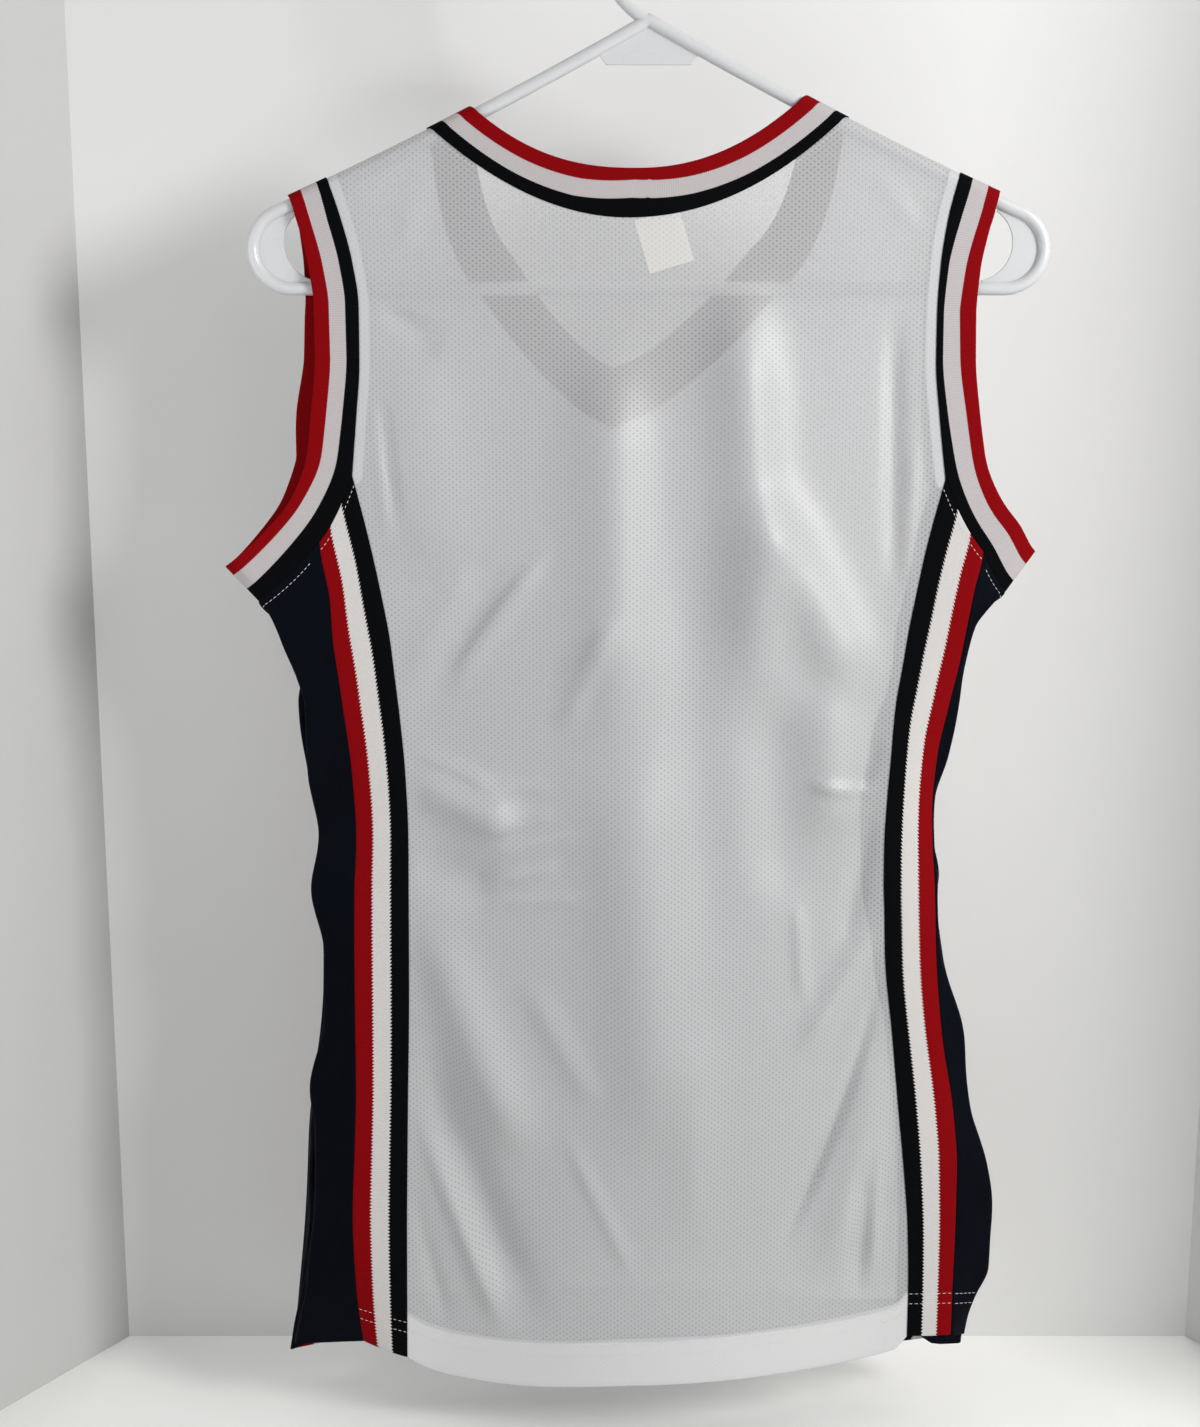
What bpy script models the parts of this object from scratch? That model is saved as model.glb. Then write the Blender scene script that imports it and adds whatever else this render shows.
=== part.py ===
"""Basketball jersey hanging by its shoulders on a tubular hanger.

Every piece that is cut and sewn is one object: two mesh panels, two side panels, four side tapes,
a neck trim, two armhole trims and a blank label, and the hanger is one more.

Units are metres and +Z is up. The origin is the inside of the hook's top, where a rail bears. The
back of the jersey faces -Y, the front +Y, and +X is on the right of someone who looks at the back.

The cloth is worked out as flat sheets in (x, w), where w is the height of a point while the cloth
hangs straight down and goes on growing, as on a tape measure, where it turns over the hanger's arm.
"""
import math

import bmesh
import bpy
import numpy as np
from mathutils import Vector

MM = 0.001

# Hanger, in its own upright plane y = 0
TUBE_RADIUS = 3.5 * MM
HOOK_RADIUS = 20.0 * MM          # inside of the hook
HOOK_TUBE_RADIUS = 3.3 * MM      # the hook's own tube, a little thinner
HOOK_MOUTH_ANGLE = -28.0         # degrees, where the hook's free end stops
APEX_Z = -88.0 * MM              # where the two arms meet
ARM_SLOPE = 0.55                 # fall of an arm at the apex
ARM_LIFT = 0.3                   # how much an arm flattens out, per metre
ARM_LENGTH_X = 194.7 * MM        # where an arm runs into its end loop
LOOP_RADIUS = 20.0 * MM
LOOP_X, LOOP_Z = 186.5 * MM, -202.0 * MM
LOOP_START_ANGLE = 24.0          # degrees past the top of the loop
WEB_THICKNESS = 1.6 * MM
WEB_HOLE_RADIUS = 19.0 * MM
WEB_HOLE_X, WEB_HOLE_Z = 171.0 * MM, -199.0 * MM
CRESCENT_TIPS = (-126.0, 104.0)    # degrees round the loop between which the web shows
APEX_WEB = [(x * MM, z * MM) for x, z in ((-27, -103), (0, -89), (27, -103), (22, -110), (-22, -110))]

# Cloth
PANEL_WALL = 1.4 * MM
TAPE_WALL = 2.0 * MM
LABEL_WALL = 0.9 * MM
SEAM_GAP = 0.3 * MM
WRAP_RADIUS = TUBE_RADIUS + SEAM_GAP + TAPE_WALL / 2    # middle of the wall round an arm
SHOULDER_FADE = 50.0 * MM        # height over which the cloth leaves the hanger's plane
FOLD_TAPER = 0.3                 # share of a fold's length over which each end dies away
TAPE_STRIPES = 3                 # red, white and navy bands across every tape
CORNER_STEPS = 3
PLEAT_RADIUS = 2.6 * MM          # inside bend of a side panel's pleat
PLEAT_DEPTH_SHARE = 0.2          # how far in from its seams a pleat's ridges stand, of the depth
LEAST_CORNER = 1.2 * MM
SEAM_LEDGE = 1.3 * MM            # how far a side panel runs on in line with its tape
TAPE_DIP, TIP_DIP = 3.5 * MM, 2.5 * MM     # how far the armhole's seam hangs below straight lines
TIP_ROOM = 0.3 * MM              # added to the seam's gap at the tip, where the trim bends away

# Grid
TAPE_ROWS = 27                   # between the hem and the underarm
PANEL_ROWS = {-1: (4, 5), 1: (1, 8)}     # by face: up the armhole below the neck's middle, and above
HALF_COLUMNS = 8                 # across half a panel
WRAP_STOPS = np.array([1.0, 0.67, 0.34, 0.12, 0.0])     # rows on the quarter turn over an arm


def smooth_read(places, values, place):
    """Read a curve through (places, values) that never overshoots them, at any place."""
    steps = np.diff(places)
    slopes = np.diff(values) / steps
    before, after = slopes[:-1], slopes[1:]
    turning = before * after <= 0
    safe_sum = np.where(turning, 1.0, before + after)
    inner = np.where(turning, 0.0, 2 * before * after / safe_sum)
    tangents = np.concatenate([slopes[:1], inner, slopes[-1:]])
    place = np.clip(place, places[0], places[-1])
    k = np.clip(np.searchsorted(places, place) - 1, 0, len(steps) - 1)
    t = (place - places[k]) / steps[k]
    rise = t * t * (3 - 2 * t)
    lean = steps[k] * (tangents[k] * t * (1 - t) ** 2 - tangents[k + 1] * t * t * (1 - t))
    return values[k] + (values[k + 1] - values[k]) * rise + lean


class Sections:
    """Sizes in millimetres at a few heights, written from the top down, with named columns."""

    def __init__(self, names, rows):
        data = np.array(rows, dtype=float)[::-1] * MM
        self.heights = data[:, 0]
        self.columns = dict(zip(names[1:], data[:, 1:].T))

    def at(self, name, height):
        return smooth_read(self.heights, self.columns[name], height)


# Depth of the hanging cloth: y of the back and front edges, how far each panel's middle stands
# out, and how far each back tape's outer edge turns towards the front.
DEPTH = Sections(
    ("z", "back", "front", "back_bulge", "front_bulge", "turn_left", "turn_right"),
    [(-160, -4.8, 4.8, 0, 0, 0, 0),
     (-200, -5.4, 5.4, 2, 3, 0, 0),
     (-250, -5.8, 5.8, 5, 6, 0, 0),
     (-321, -6.2, 6.2, 8, 9, 0, 0),
     (-386, -7.5, 8.0, 11, 12, 0, 0),
     (-444, -10.0, 13.0, 13, 14, 1.5, 4),
     (-500, -12.0, 17.0, 14, 15, 2, 8),
     (-580, -14.0, 20.0, 15, 16, 1, 4),
     (-650, -15.0, 22.0, 16, 16, 0, 3),
     (-740, -17.0, 25.0, 18, 17, 0, 1),
     (-790, -17.7, 26.0, 20, 17, 3, 1),
     (-840, -18.0, 27.0, 21, 17, 10, 4)])

# Each side below the armhole: x of the back panel's edge, of the back tape's outer edge, of the
# side panel's ridge towards the back, its inner pleat and its ridge towards the front, and of the
# front tape's outer edge.
SIDE_NAMES = ("z", "panel", "tape", "ridge", "pleat", "front_ridge", "front")
LEFT_SECTIONS = Sections(SIDE_NAMES, [
    (-319, -156.4, -172.5, -205, -209.0, -205.0, -180.0),
    (-354, -148.0, -174.5, -205, -209.0, -205.0, -180.0),
    (-386, -141.5, -169.7, -204, -209.0, -204.0, -181.0),
    (-406, -138.0, -168.7, -197, -186.0, -195.0, -182.0),
    (-428, -135.5, -166.0, -188, -166.0, -188.0, -186.0),
    (-444, -133.7, -164.0, -184.5, -158.0, -190.3, -188.5),
    (-480, -130.7, -159.8, -185.5, -153.0, -187.0, -186.0),
    (-514, -129.6, -158.2, -179, -150.0, -182.0, -181.5),
    (-545, -129.9, -159.8, -184, -150.0, -183.0, -180.0),
    (-580, -130.3, -160.5, -177.5, -149.0, -180.5, -179.0),
    (-612, -130.8, -160.8, -178.5, -149.0, -182.0, -180.0),
    (-660, -132.1, -161.2, -187.5, -154.0, -188.0, -187.0),
    (-690, -132.9, -162.5, -184.8, -158.0, -191.0, -192.0),
    (-740, -134.0, -164.6, -188, -167.0, -192.5, -195.5),
    (-780, -134.6, -163.5, -194, -178.0, -198.0, -199.5),
    (-840, -135.4, -157.0, -206, -190.0, -209.0, -206.5)])
RIGHT_SECTIONS = Sections(SIDE_NAMES, [
    (-321, 158.0, 179.2, 189, 193.0, 188.0, 170.2),
    (-359, 148.7, 179.2, 189, 193.0, 188.0, 170.2),
    (-381, 144.5, 175.0, 188, 193.0, 187.0, 169.0),
    (-400, 141.0, 171.8, 177, 160.0, 176.0, 167.0),
    (-420, 138.0, 168.5, 172.5, 141.0, 171.5, 166.0),
    (-444, 134.4, 163.5, 170, 130.0, 168.0, 163.0),
    (-471, 132.6, 158.5, 164, 124.0, 163.0, 160.0),
    (-500, 130.7, 156.7, 158, 120.0, 160.0, 157.0),
    (-519, 130.0, 157.3, 158.5, 120.0, 160.0, 157.0),
    (-540, 130.2, 158.8, 162, 121.0, 161.0, 158.0),
    (-555, 130.9, 159.5, 160, 122.0, 161.5, 159.0),
    (-583, 132.0, 160.7, 165, 127.0, 165.0, 162.0),
    (-627, 137.0, 165.0, 176.5, 138.0, 174.0, 168.0),
    (-674, 142.0, 172.8, 184, 151.0, 182.0, 174.0),
    (-706, 145.5, 175.5, 194, 160.0, 190.0, 178.0),
    (-740, 148.5, 175.6, 197.5, 163.0, 192.0, 180.0),
    (-768, 149.6, 175.2, 196, 163.0, 192.0, 181.0),
    (-785, 149.9, 175.0, 189.5, 157.0, 191.0, 181.0),
    (-800, 149.9, 175.0, 185.5, 153.0, 190.0, 181.0),
    (-840, 150.0, 175.0, 180.5, 150.0, 187.0, 181.0)])

# The armhole's seam above the underarm tape: x on the back, and how far the front seam lies from it
ARMHOLE_NAMES = ("z", "seam", "front_shift")
LEFT_ARMHOLE = Sections(ARMHOLE_NAMES, [
    (-160, -168.5, 0),
    (-173, -163.8, 0),
    (-186, -159.6, -1.5),
    (-208, -154.0, -4.0),
    (-231, -151.0, -6.2),
    (-259, -151.2, -7.5),
    (-290, -153.7, -9.5),
    (-319, -156.4, -7.5)])
RIGHT_ARMHOLE = Sections(ARMHOLE_NAMES, [
    (-158, 162.5, 0),
    (-173, 158.5, 0),
    (-186, 155.4, 0),
    (-210, 152.1, 0),
    (-235, 150.9, 0),
    (-259, 151.1, 0),
    (-290, 154.1, -2),
    (-321, 158.0, -3.9)])

# The armhole trim at stations along its seam, from the shoulder (0) past the top of the side tape
# (6 to 8) to the fold under the arm (9): its width, the slope of a line across it in degrees, and
# the shares of its width at which navy changes to white and white to red, as seen from the back.
TRIM_STATIONS = np.arange(10.0)
TRIM_HEIGHTS = np.array([172.0, 186, 209, 233, 259, 290, 320]) * MM      # below the origin, to 6
TRIM_NAMES = ("width", "lean", "navy", "white")
LEFT_TRIM = dict(zip(TRIM_NAMES, np.array([
    (21.8, -23, 0.27, 0.68),
    (22.3, -17, 0.31, 0.69),
    (23.0, -10, 0.30, 0.67),
    (23.6, -3, 0.30, 0.66),
    (23.4, 3, 0.29, 0.65),
    (24.0, 9, 0.31, 0.66),
    (25.0, 18, 0.36, 0.69),
    (25.0, 29, 0.41, 0.76),
    (25.0, 39, 0.43, 0.78),
    (25.2, 47, 0.35, 0.75)]).T))
RIGHT_TRIM = dict(zip(TRIM_NAMES, np.array([
    (22.5, -21, 0.31, 0.70),
    (22.4, -12, 0.29, 0.70),
    (20.9, -5, 0.20, 0.63),
    (20.4, 0, 0.17, 0.57),
    (20.9, 4, 0.17, 0.60),
    (21.3, 9, 0.21, 0.66),
    (22.4, 17, 0.29, 0.69),
    (22.6, 27, 0.26, 0.65),
    (24.4, 38, 0.27, 0.68),
    (26.5, 55, 0.27, 0.68)]).T))

# How wide a front side tape is, measured level, from the armhole down
FRONT_TAPE = Sections(("z", "width"), [(-321, 16.1), (-354, 25.0), (-386, 28.5), (-406, 30.5),
                                       (-840, 30.5)])

# Neck: middle and end of the seam and of the free edge, and how they rise between the two
NECK_MIDDLES = {(-1, "seam"): -11.0 * MM, (-1, "edge"): -6.0 * MM,
                (1, "seam"): -18.0 * MM, (1, "edge"): -18.0 * MM}
NECK_HEIGHTS = {(-1, "seam"): -186.3 * MM, (-1, "edge"): -161.5 * MM,
                (1, "seam"): -294.5 * MM, (1, "edge"): -263.0 * MM}
NECK_ENDS = {("left", "seam"): -114.5 * MM, ("right", "seam"): 103.0 * MM,
             ("left", "edge"): -93.0 * MM, ("right", "edge"): 82.0 * MM}
BACK_NECK_POWERS = {("left", "seam"): 1.95, ("right", "seam"): 2.1,
                    ("left", "edge"): 2.4, ("right", "edge"): 2.15}
# How the V of the front rises: share of the way to the shoulder, and share of the height there
V_SHARES = np.array([0, 0.15, 0.35, 0.55, 0.70, 0.80, 0.88, 0.94, 1])
V_RISES = np.array([0, 0.047, 0.155, 0.295, 0.425, 0.505, 0.61, 0.745, 1])

# Shares of the back neck trim's width at which navy changes to white and white to red, from its
# middle (0) to the left and to the right shoulder (1)
NECK_PLACES = (0, 0.3, 0.6, 1)
NECK_STRIPES = {"left": {"navy": (0.39, 0.31, 0.26, 0.27), "white": (0.755, 0.74, 0.73, 0.70)},
                "right": {"navy": (0.39, 0.31, 0.25, 0.20), "white": (0.755, 0.73, 0.69, 0.64)}}

# Heights of the hem along its back and front edges, from left to right
BACK_HEM_X = np.array([-135.4, -125, -110, -81, -3, 76, 104, 132, 143, 150]) * MM
BACK_HEM_Z = np.array([-819, -825, -829, -831, -825, -822.5, -821, -817, -814, -806]) * MM
FRONT_HEM_X = np.array([-176, -60, 60, 151]) * MM
FRONT_HEM_Z = np.array([-831, -836, -837, -834]) * MM

# The largest folds of each panel: start and end (x, z), half width, height above the panel, and
# how far the middle of the fold's line bows to its left
BACK_FOLDS = np.array([
    (-22, -234, -16, -477, 20, 11.5, 0),
    (-16, -429, 12, -715, 26, 10.5, 0),
    (46, -204, 63, -445, 17, 11.5, 0),
    (53, -319, 122, -446, 17, 11.5, 0),
    (21, -319, 36, -599, 20, -5, 0),
    (-131, -244, -113, -382, 24, 7, 0),
    (-133, -482, -65, -509, 13, 10.5, 0),
    (-132, -526, -79, -546, 14, -7, 0),
    (-130, -543, -65, -703, 15, 11, 0),
    (-131, -614, -56, -806, 12, -8, 3),
    (97, -424, 104, -521, 16, 7, 0),
    (63, -424, 78, -560, 18, -6.5, 0),
    (136, -616, 99, -774, 13, 9, -5)]) * MM
FRONT_FOLDS = np.array([
    (-12, -330, -8, -820, 34, 6, 0),
    (-70, -340, -95, -600, 18, -5, 0),
    (60, -350, 75, -640, 20, -5, 0),
    (-140, -470, -60, -380, 16, 5, 0),
    (125, -480, 70, -400, 16, 5, 0),
    (-140, -640, -80, -800, 17, 5, 0),
    (130, -620, 85, -790, 17, 5, 0)]) * MM

LABEL_CORNER = (-9.0 * MM, -188.3 * MM)      # upper left corner of the label
LABEL_WIDTH, LABEL_HEIGHT = 26.0 * MM, 26.0 * MM
LABEL_GAP = 0.9 * MM                         # between the label and the back panel
LABEL_TURN = math.radians(8.0)               # how far the label's lower end swings to the right

COLOURS = {                                  # linear colour, roughness
    "mesh_white": ((0.80, 0.82, 0.84), 0.62),
    "knit_navy": ((0.006, 0.008, 0.020), 0.55),
    "rib_navy": ((0.006, 0.008, 0.016), 0.75),
    "rib_white": ((0.80, 0.77, 0.76), 0.75),
    "rib_red": ((0.45, 0.006, 0.010), 0.70),
    "label_white": ((0.82, 0.80, 0.76), 0.60),
    "hanger_white": ((0.84, 0.85, 0.86), 0.28),
}
STRIPES = ("rib_navy", "rib_white", "rib_red")


# ---------------------------------------------------------------- the cloth's shape

def arm_height(x):
    """Height of the hanger's arm, at its middle line."""
    reach = np.abs(x)
    return APEX_Z - ARM_SLOPE * reach + ARM_LIFT * reach * reach


def shoulder_line(x):
    """Tape-measure height w of the line along the top of the arm."""
    return arm_height(x) + WRAP_RADIUS * math.pi / 2


def lay(x, w, away, face):
    """Place flat points: over the arm as a quarter turn, below it `away` from the wrap's plane.

    face is -1 on the back and +1 on the front.
    """
    over = w - arm_height(x)
    turn = np.clip(over / WRAP_RADIUS, 0, math.pi / 2)
    slope = ARM_SLOPE - 2 * ARM_LIFT * np.abs(x)
    fade = np.clip(-over / SHOULDER_FADE, 0, 1)
    fade = fade * fade * (3 - 2 * fade)
    hanging_y = WRAP_RADIUS + fade * away
    y = np.where(over > 0, WRAP_RADIUS * np.cos(turn), hanging_y)
    z = np.where(over > 0, arm_height(x) + WRAP_RADIUS * np.sin(turn) * np.hypot(1, slope), w)
    return np.stack([x, face * y, z], axis=-1)


def fold_height(x, z, folds):
    """Sum of soft ridges and troughs: a bell across each fold's line, dying away at its ends."""
    total = np.zeros_like(x)
    for x0, z0, x1, z1, half_width, height, bow in folds:
        run = np.array([x1 - x0, z1 - z0])
        length = np.hypot(*run)
        along = ((x - x0) * run[0] + (z - z0) * run[1]) / length ** 2
        across = ((x - x0) * run[1] - (z - z0) * run[0]) / length
        across = across - 4 * bow * np.clip(along * (1 - along), 0, 1)
        taper = np.clip(np.minimum(along, 1 - along) / FOLD_TAPER, 0, 1)
        total += height * np.exp(-(across / half_width) ** 2) * taper * taper * (3 - 2 * taper)
    return total


class Side:
    """One side of the garment: its sections, its armhole and the heights where they meet."""

    def __init__(self, name, sign, sections, armhole, trim, junction, corner, tip, hem):
        self.name, self.sign = name, sign
        self.sections, self.armhole, self.trim = sections, armhole, trim
        self.junction = junction * MM        # top of the side tape, at the panel
        self.corner = corner * MM            # top of the side tape, at the side panel
        self.tip = tip * MM                  # the fold under the arm
        self.hem = np.array(hem) * MM        # along the side: panel, tape, ridge, pleat, ridge, front
        self.fractions = np.linspace(0, 1, TAPE_ROWS + 1)

    def depth(self, face, z):
        """y of the panel's edge on one face."""
        return DEPTH.at("back" if face < 0 else "front", z)

    def panel_x(self, face, z):
        """x of a mesh panel's edge, along its tape or its armhole."""
        above = z >= self.junction
        if face < 0:
            low, high = self.sections.at("panel", z), self.armhole.at("seam", z)
        else:
            low = self.sections.at("front", z) - self.sign * FRONT_TAPE.at("width", z)
            high = self.armhole.at("seam", z) + self.armhole.at("front_shift", z)
        return np.where(above, high, low)

    def tape_x(self, face, z):
        return self.sections.at("tape" if face < 0 else "front", z)

    def tape_y(self, face, z, across):
        """A back tape's outer edge turns a little towards the front."""
        turn = DEPTH.at("turn_" + self.name, z) if face < 0 else 0.0
        return self.depth(face, z) + turn * across ** 2

    def section(self, z):
        """Columns of the side panel at heights z: two seams, and three rounded corners between."""
        read = self.sections.at
        seams, ledges = [], []
        for face in (-1, 1):
            width = read("tape", z) - read("panel", z) if face < 0 else self.sign * FRONT_TAPE.at("width", z)
            seam = np.stack([self.tape_x(face, z), self.tape_y(face, z, 1.0)], axis=-1)
            inward = 1 - 1 / TAPE_STRIPES
            rise = self.tape_y(face, z, 1.0) - self.tape_y(face, z, inward)
            run = np.stack([width * (1 - inward), rise], axis=-1)
            seams.append(seam)
            ledges.append(seam + run * (SEAM_LEDGE / np.linalg.norm(run, axis=-1, keepdims=True)))
        back, front = seams[0][..., 1], seams[1][..., 1]
        inset = PLEAT_DEPTH_SHARE * (front - back)
        corners = [np.stack(pair, axis=-1) for pair in (
            (read("ridge", z), back + inset), (read("pleat", z), (back + front) / 2),
            (read("front_ridge", z), front - inset))]
        points = [ledges[0], *corners, ledges[1]]
        columns = [seams[0], ledges[0]]
        for before, corner, after in zip(points, points[1:], points[2:]):
            columns += rounded_corner(before, corner, after)
        return columns + [ledges[1], seams[1]]

    def seam_line(self, towards_front, x):
        """Height of the side panel's top edge: a shallow curve from each tape's corner to the tip."""
        start = self.tape_x(1 if towards_front else -1, self.corner)
        share = np.clip((x - start) / (self.sections.at("pleat", self.tip) - start), 0, 1)
        return self.corner + (self.tip - self.corner) * share - 4 * TIP_DIP * share * (1 - share)


def rounded_corner(before, corner, after):
    """Replace a corner by an arc (a rational curve) whose middle is where the corner was."""
    moved = corner
    for _ in range(4):
        first, second = before - moved, after - moved
        lengths = [np.linalg.norm(leg, axis=-1, keepdims=True) for leg in (first, second)]
        first, second = first / lengths[0], second / lengths[1]
        cosine = np.sum(first * second, axis=-1, keepdims=True)
        half_angle = 0.5 * np.arccos(np.clip(cosine, -0.999, 1))
        take = np.maximum(PLEAT_RADIUS / np.tan(half_angle), LEAST_CORNER)
        take = np.minimum(take, 0.42 * np.minimum(*lengths))
        middle = first + second
        middle = middle / np.linalg.norm(middle, axis=-1, keepdims=True)
        moved = corner - middle * take * (1 / np.cos(half_angle) - np.tan(half_angle))
    start, end, weight = moved + first * take, moved + second * take, np.sin(half_angle)
    points = []
    for t in np.linspace(0, 1, CORNER_STEPS + 1):
        shares = (1 - t) ** 2, 2 * weight * t * (1 - t), t * t
        points.append((shares[0] * start + shares[1] * moved + shares[2] * end) / sum(shares))
    return points


SIDES = (
    Side("left", -1, LEFT_SECTIONS, LEFT_ARMHOLE, LEFT_TRIM, -319, -354, -386,
         (-819, -812, -818, -801, -828, -838, -831)),
    Side("right", 1, RIGHT_SECTIONS, RIGHT_ARMHOLE, RIGHT_TRIM, -321, -359, -381,
         (-806, -806, -815, -812, -834, -834, -834)),
)
LEFT, RIGHT = SIDES


# ---------------------------------------------------------------- the mesh panels

def panel_away(x, z, face):
    """How far a panel stands off the wrap's plane: its edges' depth, its bulge and its folds."""
    left, right = LEFT.panel_x(face, z), RIGHT.panel_x(face, z)
    across = np.clip((2 * x - left - right) / (right - left), -1, 1)
    edge = np.abs(DEPTH.at("back" if face < 0 else "front", z)) - WRAP_RADIUS
    bulge = DEPTH.at("back_bulge" if face < 0 else "front_bulge", z)
    folds = fold_height(x, z, BACK_FOLDS if face < 0 else FRONT_FOLDS)
    return edge + bulge * (1 - across ** 2) ** 2 + folds * (1 - across ** 6)


def wrap_rows(read_x):
    """Flat points on the quarter turn over an arm, at WRAP_STOPS below the shoulder's top line."""
    drop = WRAP_STOPS * WRAP_RADIUS * math.pi / 2
    w = np.full(len(drop), -0.16)
    for _ in range(8):
        w = shoulder_line(read_x(w)) - drop
    return np.stack([read_x(w), w], axis=-1)


def panel_edge(side, face):
    """Flat points up a panel's edge: along the tape, up the armhole and over the shoulder."""
    hem = side.hem[0] if face < 0 else side.hem[-1]
    tape = hem + (side.junction - hem) * side.fractions
    wrap = wrap_rows(lambda w: side.panel_x(face, w))
    armhole = np.linspace(side.junction, wrap[0, 1], sum(PANEL_ROWS[face]) + 1)[1:-1]
    z = np.concatenate([tape, armhole])
    return np.concatenate([np.stack([side.panel_x(face, z), z], axis=-1), wrap])


def neck_point(face, kind, side, q):
    """Flat point of the neck's seam or free edge, from the middle (q = 0) to the shoulder (q = 1)."""
    middle_x, middle_z = NECK_MIDDLES[face, kind], NECK_HEIGHTS[face, kind]
    end_x = NECK_ENDS[side.name, kind]
    if face < 0:
        rise = q ** BACK_NECK_POWERS[side.name, kind]
    else:
        rise = smooth_read(V_SHARES, V_RISES, q)
    x = middle_x + (end_x - middle_x) * q
    return np.stack([x, middle_z + (shoulder_line(end_x) - middle_z) * rise], axis=-1)


def neck_rows(face, kind, side, rows):
    """Flat points along half the neck: evenly spaced up to the arm, then on the quarter turn."""
    q = np.linspace(0, 1, 600)
    curve = neck_point(face, kind, side, q)
    drop = shoulder_line(curve[:, 0]) - curve[:, 1]
    stops = np.interp(WRAP_STOPS * WRAP_RADIUS * math.pi / 2, drop[::-1], q[::-1])
    length = np.concatenate([[0], np.cumsum(np.linalg.norm(np.diff(curve, axis=0), axis=1))])
    even = np.linspace(0, np.interp(stops[0], q, length), rows + 1)[:-1]
    return neck_point(face, kind, side, np.concatenate([np.interp(even, length, q), stops]))


def across_strap(outer, inner, shares, level=1.0):
    """Rows of flat points from one edge of a strap to the other.

    level is 0 for a row that is straight and 1 for a row that is level with the arm's slope.
    """
    t = np.atleast_2d(shares)[..., None]
    flat = outer[:, None] * (1 - t) + inner[:, None] * t
    drops = [shoulder_line(edge[:, 0]) - edge[:, 1] for edge in (outer, inner)]
    drop = drops[0][:, None] * (1 - t[..., 0]) + drops[1][:, None] * t[..., 0]
    flat[..., 1] += (shoulder_line(flat[..., 0]) - drop - flat[..., 1]) * np.reshape(level, (-1, 1))
    return flat


def coons(bottom, top, left, right):
    """Fill four flat edges: blend opposite edges both ways and take the corners' blend away."""
    s = np.linspace(0, 1, len(bottom))[None, :, None]
    v = np.linspace(0, 1, len(left))[:, None, None]
    corners = ((1 - s) * (1 - v) * bottom[0] + s * (1 - v) * bottom[-1]
               + (1 - s) * v * top[0] + s * v * top[-1])
    return ((1 - v) * bottom[None] + v * top[None]
            + (1 - s) * left[:, None] + s * right[:, None] - corners)


def panel_grids(face):
    """A panel's body and its two straps, as three grids of placed points that share their edges."""
    strap_rows = PANEL_ROWS[face][1]
    edges = [panel_edge(side, face) for side in SIDES]
    seams = [neck_rows(face, "seam", side, strap_rows) for side in SIDES]
    first = len(edges[0]) - len(seams[0])
    shares = np.linspace(0, 1, HALF_COLUMNS + 1)
    level = np.clip(np.arange(len(seams[0])) / strap_rows, 0, 1)
    left_strap = across_strap(edges[0][first:], seams[0], shares, level)
    right_strap = across_strap(seams[1], edges[1][first:], shares, level)
    top = np.concatenate([left_strap[0], right_strap[0][1:]])
    hem_x, hem_z = (BACK_HEM_X, BACK_HEM_Z) if face < 0 else (FRONT_HEM_X, FRONT_HEM_Z)
    x = np.linspace(edges[0][0, 0], edges[1][0, 0], len(top))
    hem = np.stack([x, smooth_read(hem_x, hem_z, x)], axis=-1)
    body = coons(hem, top, edges[0][:first + 1], edges[1][:first + 1])
    return [lay(flat[..., 0], flat[..., 1], panel_away(flat[..., 0], flat[..., 1], face), face)
            for flat in (body, left_strap, right_strap)]


# ---------------------------------------------------------------- tapes, side panels and trims

def tape_grid(side, face):
    """A side tape: rows up its length, with a column at each change of stripe."""
    hem = side.hem[:2] if face < 0 else side.hem[:-3:-1]
    inner_z = hem[0] + (side.junction - hem[0]) * side.fractions
    outer_z = hem[1] + (side.corner - hem[1]) * side.fractions
    inner_x, outer_x = side.panel_x(face, inner_z), side.tape_x(face, outer_z)
    columns = []
    for t in np.linspace(0, 1, TAPE_STRIPES + 1):
        z = inner_z + (outer_z - inner_z) * t - 4 * TAPE_DIP * t * (1 - t) * side.fractions ** 2
        columns.append(np.stack([inner_x + (outer_x - inner_x) * t, side.tape_y(face, z, t), z], axis=-1))
    return np.stack(columns, axis=1)


def side_panel_grid(side):
    """A side panel: its pleated section, carried from the hem to the slanted top edge."""
    count = len(side.section(np.array([side.tip])))
    spread = np.linspace(-0.05, 0.05, CORNER_STEPS + 1)
    places = np.concatenate([[0, 0.02], 0.25 + spread, 0.5 + spread, 0.75 + spread, [0.98, 1]])
    hems = smooth_read(np.linspace(0, 1, 5), side.hem[1:-1], places)
    columns = []
    for j in range(count):
        top = np.array([side.corner])
        for _ in range(12):
            top = side.seam_line(j >= count / 2, side.section(top)[j][:, 0])
        z = hems[j] + (top - hems[j]) * side.fractions
        columns.append(np.concatenate([side.section(z)[j], z[:, None]], axis=1))
    return np.stack(columns, axis=1)


def trim_columns(side, flat, station, face):
    """Flat points across an armhole trim, from its seam out to its free edge."""
    read = {name: np.interp(station, TRIM_STATIONS, values) for name, values in side.trim.items()}
    lean, clear = np.radians(read["lean"]), np.clip(station, 0, 1)
    columns = []
    for share in stripe_shares(face, read).T:
        reach = share * read["width"] * MM
        x = flat[:, 0] + side.sign * reach * np.cos(lean)
        level = shoulder_line(x) - shoulder_line(flat[:, 0])
        w = flat[:, 1] + level * (1 - clear) + reach * np.sin(lean) * clear
        columns.append(np.stack([x, w], axis=-1))
    return np.stack(columns, axis=1)


def stripe_shares(face, read):
    """Shares of a trim's width at its seam, its two changes of stripe and its free edge."""
    navy, white = read["navy"], read["white"]
    none = np.zeros_like(navy)
    if face > 0:
        navy, white = none + 1 / 3, none + 2 / 3
    return np.stack([none, navy, white, none + 1], axis=-1)


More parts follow.
